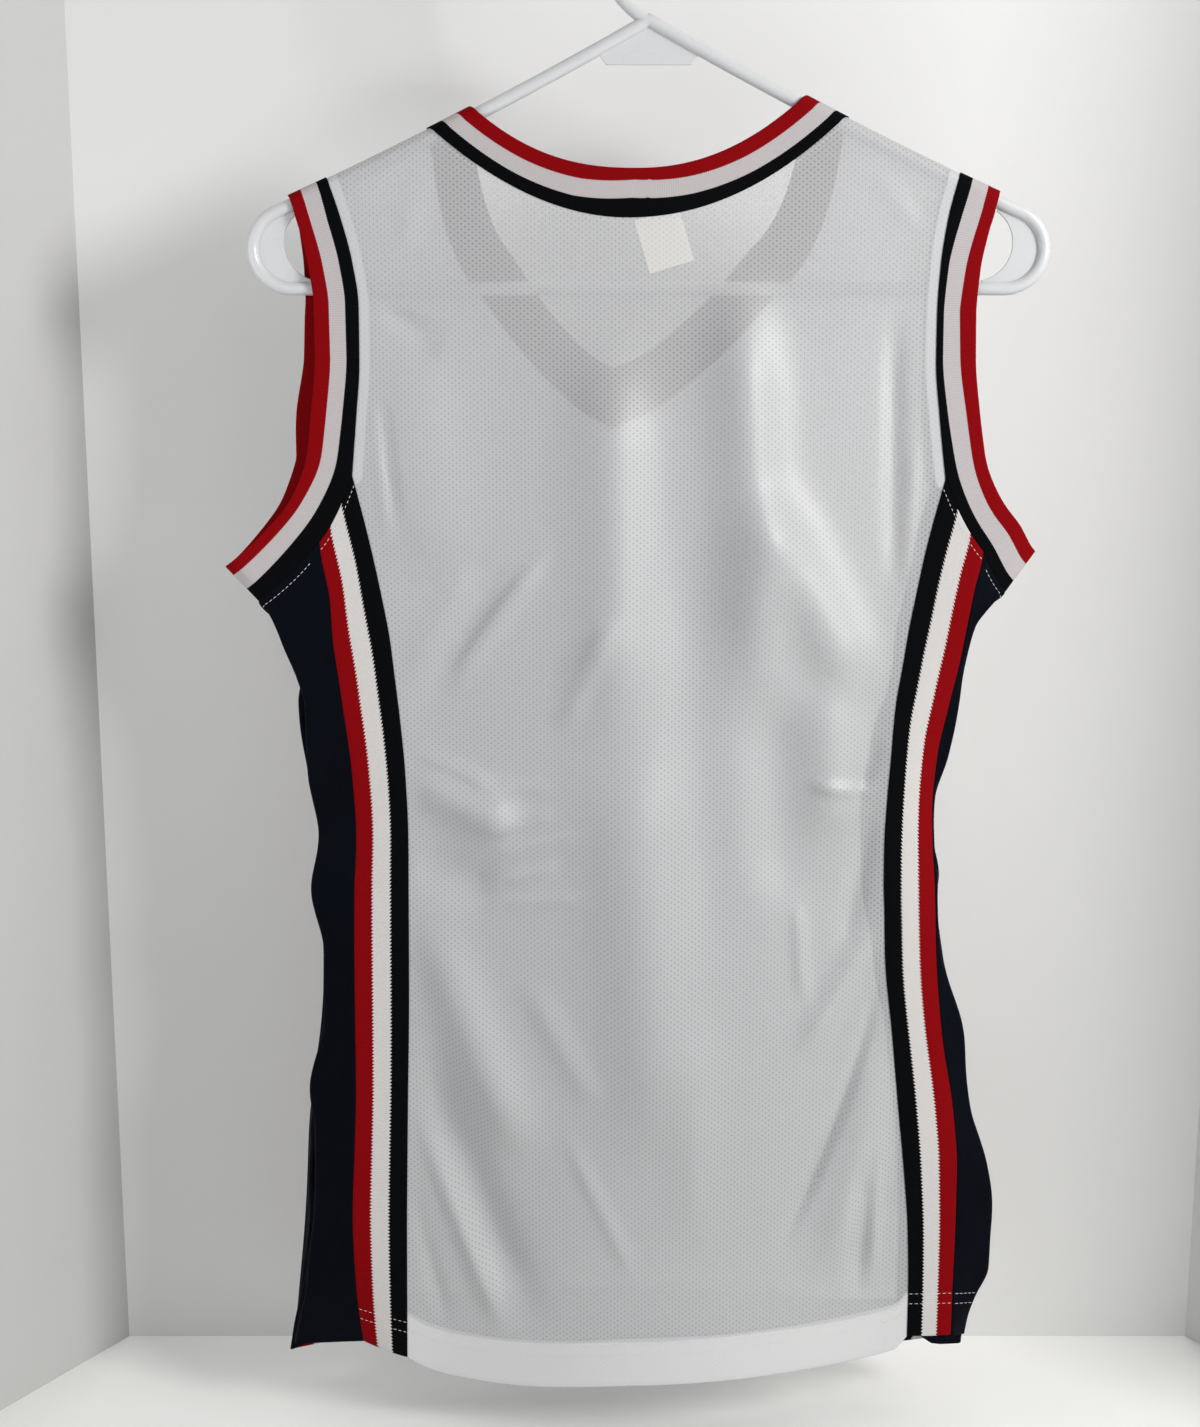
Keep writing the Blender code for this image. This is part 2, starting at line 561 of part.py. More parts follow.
def armhole_trim_grid(side, side_panel):
    """An armhole trim: a ring over the arm, down the back, folded under the arm and up the front."""
    halves = []
    for face in (-1, 1):
        edge = panel_edge(side, face)[TAPE_ROWS:]
        away = (np.abs(side.depth(face, edge[:, 1])) - WRAP_RADIUS)[:, None]
        station = np.interp(-edge[:, 1], TRIM_HEIGHTS, TRIM_STATIONS[:len(TRIM_HEIGHTS)])
        flat = trim_columns(side, edge, station, face)
        upper = lay(flat[..., 0], flat[..., 1], away + 0 * flat[..., 0], face)
        tape, middle = tape_grid(side, face)[-1], side_panel.shape[1] // 2
        top = side_panel[-1, 1:middle] if face < 0 else side_panel[-1, :middle - 1:-1]
        seam = np.concatenate([tape[1:], top])
        station = np.concatenate([np.linspace(6, 8, TAPE_STRIPES + 1)[1:],
                                  8 + (tape[-1, 2] - top[:, 2]) / (tape[-1, 2] - top[-1, 2])])
        flat = trim_columns(side, seam[:, ::2], station, face)
        lower = np.stack([flat[..., 0], seam[:, 1:2] + 0 * flat[..., 0], flat[..., 1]], axis=-1)
        halves.append(np.concatenate([upper[::-1], lower]))
    back, front = halves
    return np.concatenate([back, front[-2:0:-1]])


def neck_trim_grid():
    """The neck trim: a ring from the middle of the back, over both shoulders, to the point of the V."""
    quarters = {}
    for face in (-1, 1):
        rows = PANEL_ROWS[face][1]
        for side in SIDES:
            seam, edge = (neck_rows(face, kind, side, rows) for kind in ("seam", "edge"))
            place = (seam[:, 0] - seam[0, 0]) / (seam[-1, 0] - seam[0, 0])
            read = {name: np.interp(place, NECK_PLACES, values)
                    for name, values in NECK_STRIPES[side.name].items()}
            flat = across_strap(seam, edge, stripe_shares(face, read))
            away = panel_away(seam[:, 0], seam[:, 1], face)[:, None]
            quarters[face, side.name] = lay(flat[..., 0], flat[..., 1], away + 0 * flat[..., 0], face)
    return np.concatenate([quarters[-1, "left"], quarters[1, "left"][-2::-1],
                           quarters[1, "right"][1:], quarters[-1, "right"][-2:0:-1]])


def label_grid():
    """The label: a small turned rectangle on the inside of the back panel."""
    across, down = np.meshgrid(np.linspace(0, LABEL_WIDTH, 3), np.linspace(0, LABEL_HEIGHT, 3))
    x = LABEL_CORNER[0] + across * math.cos(LABEL_TURN) + down * math.sin(LABEL_TURN)
    z = LABEL_CORNER[1] + across * math.sin(LABEL_TURN) - down * math.cos(LABEL_TURN)
    inward = (PANEL_WALL + LABEL_WALL) / 2 + LABEL_GAP
    return lay(x, z, panel_away(x, z, -1) - inward, -1)


# ---------------------------------------------------------------- Blender objects

def make_material(name):
    colour, roughness = COLOURS[name]
    material = bpy.data.materials.get(name)
    if material is None:
        material = bpy.data.materials.new(name)
        material.use_nodes = True
        shader = material.node_tree.nodes["Principled BSDF"]
        shader.inputs["Base Color"].default_value = (*colour, 1.0)
        shader.inputs["Roughness"].default_value = roughness
    return material


def add_grid(mesh, grid, ring=False):
    """Add a grid of points as quads. A ring's last row joins its first."""
    rows, columns = grid.shape[:2]
    verts = [mesh.verts.new(point) for point in grid.reshape(-1, 3)]
    for i in range(rows if ring else rows - 1):
        for j in range(columns - 1):
            here, there = i * columns + j, (i + 1) % rows * columns + j
            face = mesh.faces.new([verts[k] for k in (here, here + 1, there + 1, there)])
            face.smooth = True
            face.material_index = j


def draw_in(mesh, distance):
    """Move every open edge inwards, along the cloth, so that seams keep their gap."""
    moves = {}
    for vert in mesh.verts:
        inwards = []
        for edge in (e for e in vert.link_edges if e.is_boundary):
            face = edge.link_faces[0]
            across = face.normal.cross(edge.verts[1].co - edge.verts[0].co).normalized()
            if across.dot(face.calc_center_median() - edge.verts[0].co) < 0:
                across.negate()
            inwards.append(across)
        if len(inwards) == 2:
            share = max(0.4, 1 + inwards[0].dot(inwards[1]))
            moves[vert] = (inwards[0] + inwards[1]) * (distance / share)
    for vert, move in moves.items():
        vert.co += move


def make_cloth(name, grids, wall, materials, collection, ring=False):
    """One piece of cloth: its middle surface, drawn in at its edges and given its wall."""
    mesh = bmesh.new()
    for grid in grids:
        add_grid(mesh, grid, ring)
    bmesh.ops.remove_doubles(mesh, verts=mesh.verts, dist=0.01 * MM)
    bmesh.ops.recalc_face_normals(mesh, faces=mesh.faces)
    draw_in(mesh, SEAM_GAP / 2)
    if len(materials) == 1:
        for face in mesh.faces:
            face.material_index = 0
    data = bpy.data.meshes.new(name)
    mesh.to_mesh(data)
    mesh.free()
    for material in materials:
        data.materials.append(make_material(material))
    piece = bpy.data.objects.new(name, data)
    collection.objects.link(piece)
    solidify = piece.modifiers.new("wall", "SOLIDIFY")
    solidify.thickness = wall
    solidify.offset = 0.0
    return piece


def tube_mesh(name, points, radius, cyclic, collection):
    """A tube along points, made a mesh with its caps welded."""
    curve = bpy.data.curves.new(name + "_path", "CURVE")
    curve.dimensions = "3D"
    curve.bevel_depth = radius
    curve.bevel_resolution = 3
    curve.use_fill_caps = not cyclic
    spline = curve.splines.new("POLY")
    spline.points.add(len(points) - 1)
    for point, (x, z) in zip(spline.points, points):
        point.co = (x, 0.0, z, 1.0)
    spline.use_cyclic_u = cyclic
    path = bpy.data.objects.new(name + "_path", curve)
    collection.objects.link(path)
    bpy.context.view_layer.update()
    data = bpy.data.meshes.new_from_object(path.evaluated_get(bpy.context.evaluated_depsgraph_get()))
    data.name = name
    tube = bpy.data.objects.new(name, data)
    collection.objects.link(tube)
    bpy.data.objects.remove(path)
    mesh = bmesh.new()
    mesh.from_mesh(data)
    bmesh.ops.remove_doubles(mesh, verts=mesh.verts, dist=0.01 * MM)
    bmesh.ops.recalc_face_normals(mesh, faces=mesh.faces)
    mesh.to_mesh(data)
    mesh.free()
    return tube


def frame_points():
    """The hanger's closed frame: an arm, its end loop, the bar, and the same on the other side."""
    arm = [(x, arm_height(x)) for x in np.linspace(0, ARM_LENGTH_X, 7)]
    angles = np.radians(np.linspace(LOOP_START_ANGLE, 180, 11))[1:]
    loop = [(LOOP_X + LOOP_RADIUS * math.sin(a), LOOP_Z + LOOP_RADIUS * math.cos(a)) for a in angles]
    half = arm + loop
    return half + [(-x, z) for x, z in half[:0:-1]]


def hook_points():
    """The hook: a stem that leans out from the apex, then most of a circle round the rail."""
    radius = HOOK_RADIUS + HOOK_TUBE_RADIUS
    start, shoulder = Vector((0.0, APEX_Z - 1 * MM)), Vector((-radius, -HOOK_RADIUS))
    lean, upright = start + Vector((-30 * MM, 18 * MM)), shoulder - Vector((0.0, 30 * MM))
    stem = []
    for t in np.linspace(0, 1, 9)[:-1]:
        stem.append(start * (1 - t) ** 3 + lean * 3 * t * (1 - t) ** 2
                    + upright * 3 * t * t * (1 - t) + shoulder * t ** 3)
    angles = np.radians(np.arange(180, HOOK_MOUTH_ANGLE - 1, -16))
    return [tuple(point) for point in stem] + [
        (radius * math.cos(a), radius * math.sin(a) - HOOK_RADIUS) for a in angles]


def plate(name, outline, collection):
    """A thin upright plate in the hanger's plane, from a flat outline."""
    mesh = bmesh.new()
    for y in (-WEB_THICKNESS / 2, WEB_THICKNESS / 2):
        mesh.faces.new([mesh.verts.new((x, y, z)) for x, z in outline])
    mesh.verts.ensure_lookup_table()
    count = len(outline)
    for i in range(count):
        j = (i + 1) % count
        mesh.faces.new([mesh.verts[k] for k in (i, j, count + j, count + i)])
    bmesh.ops.recalc_face_normals(mesh, faces=mesh.faces)
    data = bpy.data.meshes.new(name)
    mesh.to_mesh(data)
    mesh.free()
    piece = bpy.data.objects.new(name, data)
    collection.objects.link(piece)
    return piece


def add_boolean(target, other, operation):
    boolean = target.modifiers.new(operation.lower(), "BOOLEAN")
    boolean.operation = operation
    boolean.object = other
    boolean.solver = "EXACT"
    other.hide_render = True
    other.display_type = "WIRE"


def crescent_outline(sign):
    """The web in an end loop: inside the loop's tube, outside a round opening."""
    reach = LOOP_RADIUS + 0.5 * MM
    outer = np.radians(np.linspace(CRESCENT_TIPS[0], CRESCENT_TIPS[1], 15))
    rim = [(LOOP_X + reach * math.cos(a), LOOP_Z + reach * math.sin(a)) for a in outer]
    tips = [math.atan2(z - WEB_HOLE_Z, x - WEB_HOLE_X) for x, z in (rim[-1], rim[0])]
    inner = np.linspace(tips[0], tips[1], 13)
    hole = [(WEB_HOLE_X + WEB_HOLE_RADIUS * math.cos(a), WEB_HOLE_Z + WEB_HOLE_RADIUS * math.sin(a))
            for a in inner]
    return [(sign * x, z) for x, z in rim + hole]


def make_hanger(collection, cutters):
    hanger = tube_mesh("hanger", frame_points(), TUBE_RADIUS, True, collection)
    hanger.data.materials.clear()
    hanger.data.materials.append(make_material("hanger_white"))
    others = [tube_mesh("hook_shape", hook_points(), HOOK_TUBE_RADIUS, False, cutters),
              plate("apex_web_shape", APEX_WEB, cutters)]
    others += [plate(f"end_web_shape_{sign:+d}", crescent_outline(sign), cutters) for sign in (-1, 1)]
    for other in others:
        add_boolean(hanger, other, "UNION")
    hanger.data.shade_smooth()
    return hanger


def main():
    for old in list(bpy.data.objects):
        bpy.data.objects.remove(old)
    jersey = bpy.data.collections.new("basketball_jersey")
    cutters = bpy.data.collections.new("hanger_shapes")
    for collection in (jersey, cutters):
        bpy.context.scene.collection.children.link(collection)

    make_hanger(jersey, cutters)
    make_cloth("back_panel", panel_grids(-1), PANEL_WALL, ["mesh_white"], jersey)
    make_cloth("front_panel", panel_grids(1), PANEL_WALL, ["mesh_white"], jersey)
    make_cloth("neck_trim", [neck_trim_grid()], TAPE_WALL, STRIPES, jersey, ring=True)
    make_cloth("neck_label", [label_grid()], LABEL_WALL, ["label_white"], jersey)
    for side in SIDES:
        side_panel = side_panel_grid(side)
        trim = armhole_trim_grid(side, side_panel)
        side_panel[-1, :, 2] -= TIP_ROOM * np.sin(np.linspace(0, math.pi, side_panel.shape[1])) ** 2
        make_cloth("side_panel_" + side.name, [side_panel], PANEL_WALL, ["knit_navy"], jersey)
        make_cloth("side_tape_back_" + side.name, [tape_grid(side, -1)], TAPE_WALL, STRIPES, jersey)
        make_cloth("side_tape_front_" + side.name, [tape_grid(side, 1)], TAPE_WALL, STRIPES, jersey)
        make_cloth("armhole_trim_" + side.name, [trim], TAPE_WALL, STRIPES, jersey, ring=True)


if __name__ == "__main__":
    main()
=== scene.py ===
"""Looks of a sleeveless basketball jersey that hangs flat on a moulded tubular hanger.

The jersey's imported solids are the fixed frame. Each piece of cloth is drawn again here as a fine
sheet on the same surface: two pinhole mesh panels, two knitted side panels, four striped side
tapes, a striped neck trim, two striped armhole trims and a satin label, with their sewing. The
hanger is drawn again as swept tubes and thin webs.
Lengths are metres, +Z is up, the jersey's back faces -Y, and the origin is the hook's inside top.
"""
import logging
import math
from dataclasses import dataclass, field
from enum import Enum, IntEnum

import bmesh
import bpy
import numpy as np
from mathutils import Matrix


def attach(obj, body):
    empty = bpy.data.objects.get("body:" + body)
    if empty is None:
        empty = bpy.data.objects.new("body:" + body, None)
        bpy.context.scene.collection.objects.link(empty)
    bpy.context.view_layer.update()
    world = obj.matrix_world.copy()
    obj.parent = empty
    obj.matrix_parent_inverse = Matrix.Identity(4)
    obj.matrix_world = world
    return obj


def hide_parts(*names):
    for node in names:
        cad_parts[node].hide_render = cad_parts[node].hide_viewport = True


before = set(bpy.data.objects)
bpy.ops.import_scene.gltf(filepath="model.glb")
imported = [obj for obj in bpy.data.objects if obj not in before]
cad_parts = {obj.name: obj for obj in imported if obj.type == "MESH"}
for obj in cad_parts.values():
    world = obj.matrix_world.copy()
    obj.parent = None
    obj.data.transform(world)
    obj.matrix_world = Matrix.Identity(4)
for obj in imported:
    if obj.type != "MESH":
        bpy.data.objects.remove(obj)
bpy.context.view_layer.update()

LOG = logging.getLogger("jersey")
MM = 0.001
BODY = "root"
Array = np.ndarray
Point = tuple[float, float, float]
Object = bpy.types.Object
Mesh = bpy.types.Mesh
Material = bpy.types.Material
Socket = bpy.types.NodeSocket
Value = Socket | float | tuple[float, ...]


class Face(IntEnum):
    """The side of the garment that a sheet lies on; its value is the sign of y."""

    BACK = -1
    FRONT = 1


class NeckLine(Enum):
    """The two edges of the neck's trim."""

    SEAM = "seam"
    EDGE = "edge"


# ---------------- reading tables of sizes

def smooth_read(places: Array, values: Array, place: Array) -> Array:
    """Read a curve through (places, values) that never overshoots them.

    Between two rows it is a cubic whose end slopes are the harmonic mean of the slopes beside
    them, or level where the curve turns.

    Args:
        places: increasing places of the rows.
        values: the value in each row.
        place: where to read.

    Returns:
        The values at those places.
    """
    steps = np.diff(places)
    slopes = np.diff(values) / steps
    before, after = slopes[:-1], slopes[1:]
    turning = before * after <= 0
    safe_sum = np.where(turning, 1.0, before + after)
    inner = np.where(turning, 0.0, 2 * before * after / safe_sum)
    tangents = np.concatenate([slopes[:1], inner, slopes[-1:]])
    place = np.clip(place, places[0], places[-1])
    k = np.clip(np.searchsorted(places, place) - 1, 0, len(steps) - 1)
    t = (place - places[k]) / steps[k]
    rise = t * t * (3 - 2 * t)
    lean = steps[k] * (tangents[k] * t * (1 - t) ** 2 - tangents[k + 1] * t * t * (1 - t))
    return values[k] + (values[k + 1] - values[k]) * rise + lean


def ease(value: Array) -> Array:
    """Rise smoothly from 0 to 1 while value goes from 0 to 1."""
    t = np.clip(value, 0, 1)
    return t * t * (3 - 2 * t)


def lengths_along(points: Array) -> Array:
    """Length travelled along a line of points, starting at 0."""
    return np.concatenate([[0], np.cumsum(np.linalg.norm(np.diff(points, axis=0), axis=-1))])


def unit(vectors: Array) -> Array:
    """Vectors with the same directions and a length of 1."""
    return vectors / np.linalg.norm(vectors, axis=-1, keepdims=True)


class Sections:
    """Sizes in millimetres at a few heights, written from the top down, with named columns."""

    def __init__(self, names: tuple[str, ...], rows: list[tuple[float, ...]]) -> None:
        """Keep the rows in metres, lowest first, under the names of their columns.

        Args:
            names: the columns' names, of which the first is the height's.
            rows: a row of millimetres for each height.
        """
        data = np.array(rows, dtype=float)[::-1] * MM
        self.heights = data[:, 0]
        self.columns = dict(zip(names[1:], data[:, 1:].T))

    def at(self, name: str, height: Array) -> Array:
        """Read one column at any height."""
        return smooth_read(self.heights, self.columns[name], height)


DEPTH = Sections(
    ("z", "back", "front", "back_bulge", "front_bulge", "turn_left", "turn_right"),
    [(-160, -4.8, 4.8, 0, 0, 0, 0),
     (-200, -5.4, 5.4, 2, 3, 0, 0),
     (-250, -5.8, 5.8, 5, 6, 0, 0),
     (-321, -6.2, 6.2, 8, 9, 0, 0),
     (-386, -7.5, 8.0, 11, 12, 0, 0),
     (-444, -10.0, 13.0, 13, 14, 1.5, 4),
     (-500, -12.0, 17.0, 14, 15, 2, 8),
     (-580, -14.0, 20.0, 15, 16, 1, 4),
     (-650, -15.0, 22.0, 16, 16, 0, 3),
     (-740, -17.0, 25.0, 18, 17, 0, 1),
     (-790, -17.7, 26.0, 20, 17, 3, 1),
     (-840, -18.0, 27.0, 21, 17, 10, 4)])

# Each side below the armhole: x of the back panel's edge, of the back tape's outer edge, of the
# side panel's ridge towards the back, its inner pleat and its ridge towards the front, and of the
# front tape's outer edge.
SIDE_NAMES = ("z", "panel", "tape", "ridge", "pleat", "front_ridge", "front")
LEFT_SECTIONS = Sections(SIDE_NAMES, [
    (-319, -156.4, -172.5, -205, -209.0, -205.0, -180.0),
    (-354, -148.0, -174.5, -205, -209.0, -205.0, -180.0),
    (-386, -141.5, -169.7, -204, -209.0, -204.0, -181.0),
    (-406, -138.0, -168.7, -197, -186.0, -195.0, -182.0),
    (-428, -135.5, -166.0, -188, -166.0, -188.0, -186.0),
    (-444, -133.7, -164.0, -184.5, -158.0, -190.3, -188.5),
    (-480, -130.7, -159.8, -185.5, -153.0, -187.0, -186.0),
    (-514, -129.6, -158.2, -179, -150.0, -182.0, -181.5),
    (-545, -129.9, -159.8, -184, -150.0, -183.0, -180.0),
    (-580, -130.3, -160.5, -177.5, -149.0, -180.5, -179.0),
    (-612, -130.8, -160.8, -178.5, -149.0, -182.0, -180.0),
    (-660, -132.1, -161.2, -187.5, -154.0, -188.0, -187.0),
    (-690, -132.9, -162.5, -184.8, -158.0, -191.0, -192.0),
    (-740, -134.0, -164.6, -188, -167.0, -192.5, -195.5),
    (-780, -134.6, -163.5, -194, -178.0, -198.0, -199.5),
    (-840, -135.4, -157.0, -206, -190.0, -209.0, -206.5)])
RIGHT_SECTIONS = Sections(SIDE_NAMES, [
    (-321, 158.0, 179.2, 189, 193.0, 188.0, 170.2),
    (-359, 148.7, 179.2, 189, 193.0, 188.0, 170.2),
    (-381, 144.5, 175.0, 188, 193.0, 187.0, 169.0),
    (-400, 141.0, 171.8, 177, 160.0, 176.0, 167.0),
    (-420, 138.0, 168.5, 172.5, 141.0, 171.5, 166.0),
    (-444, 134.4, 163.5, 170, 130.0, 168.0, 163.0),
    (-471, 132.6, 158.5, 164, 124.0, 163.0, 160.0),
    (-500, 130.7, 156.7, 158, 120.0, 160.0, 157.0),
    (-519, 130.0, 157.3, 158.5, 120.0, 160.0, 157.0),
    (-540, 130.2, 158.8, 162, 121.0, 161.0, 158.0),
    (-555, 130.9, 159.5, 160, 122.0, 161.5, 159.0),
    (-583, 132.0, 160.7, 165, 127.0, 165.0, 162.0),
    (-627, 137.0, 165.0, 176.5, 138.0, 174.0, 168.0),
    (-674, 142.0, 172.8, 184, 151.0, 182.0, 174.0),
    (-706, 145.5, 175.5, 194, 160.0, 190.0, 178.0),
    (-740, 148.5, 175.6, 197.5, 163.0, 192.0, 180.0),
    (-768, 149.6, 175.2, 196, 163.0, 192.0, 181.0),
    (-785, 149.9, 175.0, 189.5, 157.0, 191.0, 181.0),
    (-800, 149.9, 175.0, 185.5, 153.0, 190.0, 181.0),
    (-840, 150.0, 175.0, 180.5, 150.0, 187.0, 181.0)])

# The armhole's seam above the underarm tape: x on the back, and how far the front seam lies from it
ARMHOLE_NAMES = ("z", "seam", "front_shift")
LEFT_ARMHOLE = Sections(ARMHOLE_NAMES, [
    (-160, -168.5, 0),
    (-173, -163.8, 0),
    (-186, -159.6, -1.5),
    (-208, -154.0, -4.0),
    (-231, -151.0, -6.2),
    (-259, -151.2, -7.5),
    (-290, -153.7, -9.5),
    (-319, -156.4, -7.5)])
RIGHT_ARMHOLE = Sections(ARMHOLE_NAMES, [
    (-158, 162.5, 0),
    (-173, 158.5, 0),
    (-186, 155.4, 0),
    (-210, 152.1, 0),
    (-235, 150.9, 0),
    (-259, 151.1, 0),
    (-290, 154.1, -2),
    (-321, 158.0, -3.9)])

# The armhole trim at stations along its seam, from the shoulder (0) past the top of the side tape
# (6 to 8) to the fold under the arm (9): its width, the slope of a line across it in degrees, and
# the shares of its width at which navy changes to white and white to red, as seen from the back.
TRIM_STATIONS = np.arange(10.0)
TRIM_HEIGHTS = np.array([172.0, 186, 209, 233, 259, 290, 320]) * MM      # below the origin, to 6
TRIM_NAMES = ("width", "lean", "navy", "white")
LEFT_TRIM = dict(zip(TRIM_NAMES, np.array([
    (21.8, -23, 0.27, 0.68),
    (22.3, -17, 0.31, 0.69),
    (23.0, -10, 0.30, 0.67),
    (23.6, -3, 0.30, 0.66),
    (23.4, 3, 0.29, 0.65),
    (24.0, 9, 0.31, 0.66),
    (25.0, 18, 0.36, 0.69),
    (25.0, 29, 0.41, 0.76),
    (25.0, 39, 0.43, 0.78),
    (25.2, 47, 0.35, 0.75)]).T))
RIGHT_TRIM = dict(zip(TRIM_NAMES, np.array([
    (22.5, -21, 0.31, 0.70),
    (22.4, -12, 0.29, 0.70),
    (20.9, -5, 0.20, 0.63),
    (20.4, 0, 0.17, 0.57),
    (20.9, 4, 0.17, 0.60),
    (21.3, 9, 0.21, 0.66),
    (22.4, 17, 0.29, 0.69),
    (22.6, 27, 0.26, 0.65),
    (24.4, 38, 0.27, 0.68),
    (26.5, 55, 0.27, 0.68)]).T))

# How wide a front side tape is, measured level, from the armhole down
FRONT_TAPE = Sections(("z", "width"), [(-321, 16.1), (-354, 25.0), (-386, 28.5), (-406, 30.5),
                                       (-840, 30.5)])

# Neck lines in millimetres: x and height of their middles, x of their ends on the shoulders, and
# the power with which they rise between the two at the back
NECK_MIDDLES = {(Face.BACK, NeckLine.SEAM): (-11.0, -186.3), (Face.BACK, NeckLine.EDGE): (-6.0, -161.5),
                (Face.FRONT, NeckLine.SEAM): (-18.0, -294.5), (Face.FRONT, NeckLine.EDGE): (-18.0, -263.0)}
NECK_ENDS = {("left", NeckLine.SEAM): -114.5, ("right", NeckLine.SEAM): 103.0,
             ("left", NeckLine.EDGE): -93.0, ("right", NeckLine.EDGE): 82.0}
BACK_NECK_POWERS = {("left", NeckLine.SEAM): 1.95, ("right", NeckLine.SEAM): 2.1,
                    ("left", NeckLine.EDGE): 2.4, ("right", NeckLine.EDGE): 2.15}

# The V at the front: how far it has risen at shares of the way from its point to the shoulder
V_SHARES = np.array([0, 0.15, 0.35, 0.55, 0.70, 0.80, 0.88, 0.94, 1])
V_RISES = np.array([0, 0.047, 0.155, 0.295, 0.425, 0.505, 0.61, 0.745, 1])

# Shares of the back neck trim's width at which navy changes to white and white to red, from its
# middle (0) to the left and to the right shoulder (1)
NECK_PLACES = (0, 0.3, 0.6, 1)
NECK_STRIPES = {"left": {"navy": (0.40, 0.30, 0.29, 0.31), "white": (0.76, 0.68, 0.66, 0.66)},
                "right": {"navy": (0.40, 0.33, 0.285, 0.26), "white": (0.76, 0.70, 0.66, 0.65)}}

# The hem's turned-up band, and its heights along the back and front edges, from left to right
HEM_BAND = 27 * MM
BACK_HEM_X = np.array([-135.4, -125, -110, -81, -3, 76, 104, 132, 143, 150]) * MM
BACK_HEM_Z = np.array([-819, -825, -829, -831, -825, -822.5, -821, -817, -814, -806]) * MM
FRONT_HEM_X = np.array([-176, -60, 60, 151]) * MM
FRONT_HEM_Z = np.array([-831, -836, -837, -834]) * MM

# The largest folds of each panel: start and end (x, z), half width and height above the panel
BACK_FOLDS = np.array([
    (-22, -234, -16, -477, 20, 11.5, 0),  # left of the middle, above
    (-16, -429, 12, -715, 26, 10.5, 0),  # left of the middle, below
    (46, -204, 63, -445, 17, 11.5, 0),  # right of the middle
    (53, -319, 122, -446, 17, 11.5, 0),  # its branch to the right tape
    (21, -319, 36, -599, 20, -5, 0),  # valley between
    (-131, -244, -113, -382, 24, 7, 0),  # left shoulder blade
    (-133, -482, -65, -509, 13, 10.5, 0),  # left pouch
    (-132, -526, -79, -546, 14, -7, 0),  # hollow under it
    (-130, -543, -65, -703, 15, 11, 0),  # ridge under that
    (-131, -614, -56, -806, 12, -8, 3),  # long left hollow
    (97, -424, 104, -521, 16, 7, 0),  # right pouch
    (63, -424, 78, -560, 18, -6.5, 0),  # hollow beside it
    (136, -616, 99, -774, 13, 9, -5),  # right hem
]) * MM
FRONT_FOLDS = np.array([
    (-12, -330, -8, -820, 34, 6, 0),
    (-70, -340, -95, -600, 18, -5, 0),
    (60, -350, 75, -640, 20, -5, 0),
    (-140, -470, -60, -380, 16, 5, 0),
    (125, -480, 70, -400, 16, 5, 0),
    (-140, -640, -80, -800, 17, 5, 0),
    (130, -620, 85, -790, 17, 5, 0)]) * MM

# Smaller creases of the back panel, too fine for the solids
BACK_CREASES = np.array([
    (-135, -429, -91, -361, 7, 5, 0),  # upper left diagonal
    (-110, -438, -50, -353, 5, 5.5, 0),  # strong left diagonal
    (-126, -448, -71, -361, 5, -3, 0),  # hollow between them
    (-48, -457, -16, -387, 6, 4, 0),  # third left diagonal
    (-147, -269, -138, -361, 3, 4, 0),  # left armhole crease
    (-141, -265, -131, -361, 3.5, -4.5, 0),  # left armhole hollow
    (-143, -229, -106, -255, 6, -4.5, 0),  # below the left shoulder
    (129, -229, 132, -387, 4.5, -5, 0),  # right armhole hollow
    (141, -289, 139, -392, 3, 3, 0),  # right armhole crease
    (-129, -468, -78, -489, 3, 4, -3),  # left pouch lip
    (-94, -488, -46, -484, 3, 2, 0),  # left pouch streak
    (-90, -511, -46, -498, 3, 2, 0),  # short streak 1
    (-87, -526, -29, -509, 3, 2, 0),  # short streak 2
    (-79, -540, -46, -527, 3, 2.5, 0),  # short streak 3
    (-83, -552, -29, -544, 3, 2, 0),  # short streak 4
    (-133, -659, -77, -805, 6, 6, 0),  # left hem lip
    (-136, -703, -111, -805, 4.5, -4.5, 0),  # left hem hollow
    (86, -483, 128, -488, 3, 4.5, 2),  # right pouch lip
    (114, -497, 127, -457, 4, -4, 0),  # right pouch crease
    (126, -497, 108, -580, 6, -5.5, 0),  # right waist hollow
    (133, -554, 82, -642, 7, 5.5, 0),  # right waist ridge
    (82, -546, 87, -611, 4, 2.5, 0),  # right waist crease
    (133, -577, 71, -759, 3, -5.5, -7),  # long right crease
    (122, -694, 121, -786, 4.5, -4.5, 0),  # right hem crease
    (132, -668, 129, -774, 3, 4.5, 0),  # right hem lip
    (98, -140, 147, -199, 5, 2, 0),  # right shoulder
    (-115, -149, -130, -210, 6, 2, 0),  # left shoulder
    (-68, -588, -25, -668, 7.5, 2.5, 0),  # middle low left
    (29, -605, 25, -750, 12, 2.5, 0),  # middle low right
    (-47, -674, -3, -768, 4.5, 2, 0),  # middle low crease
]) * MM


# ---------------- the jersey's form

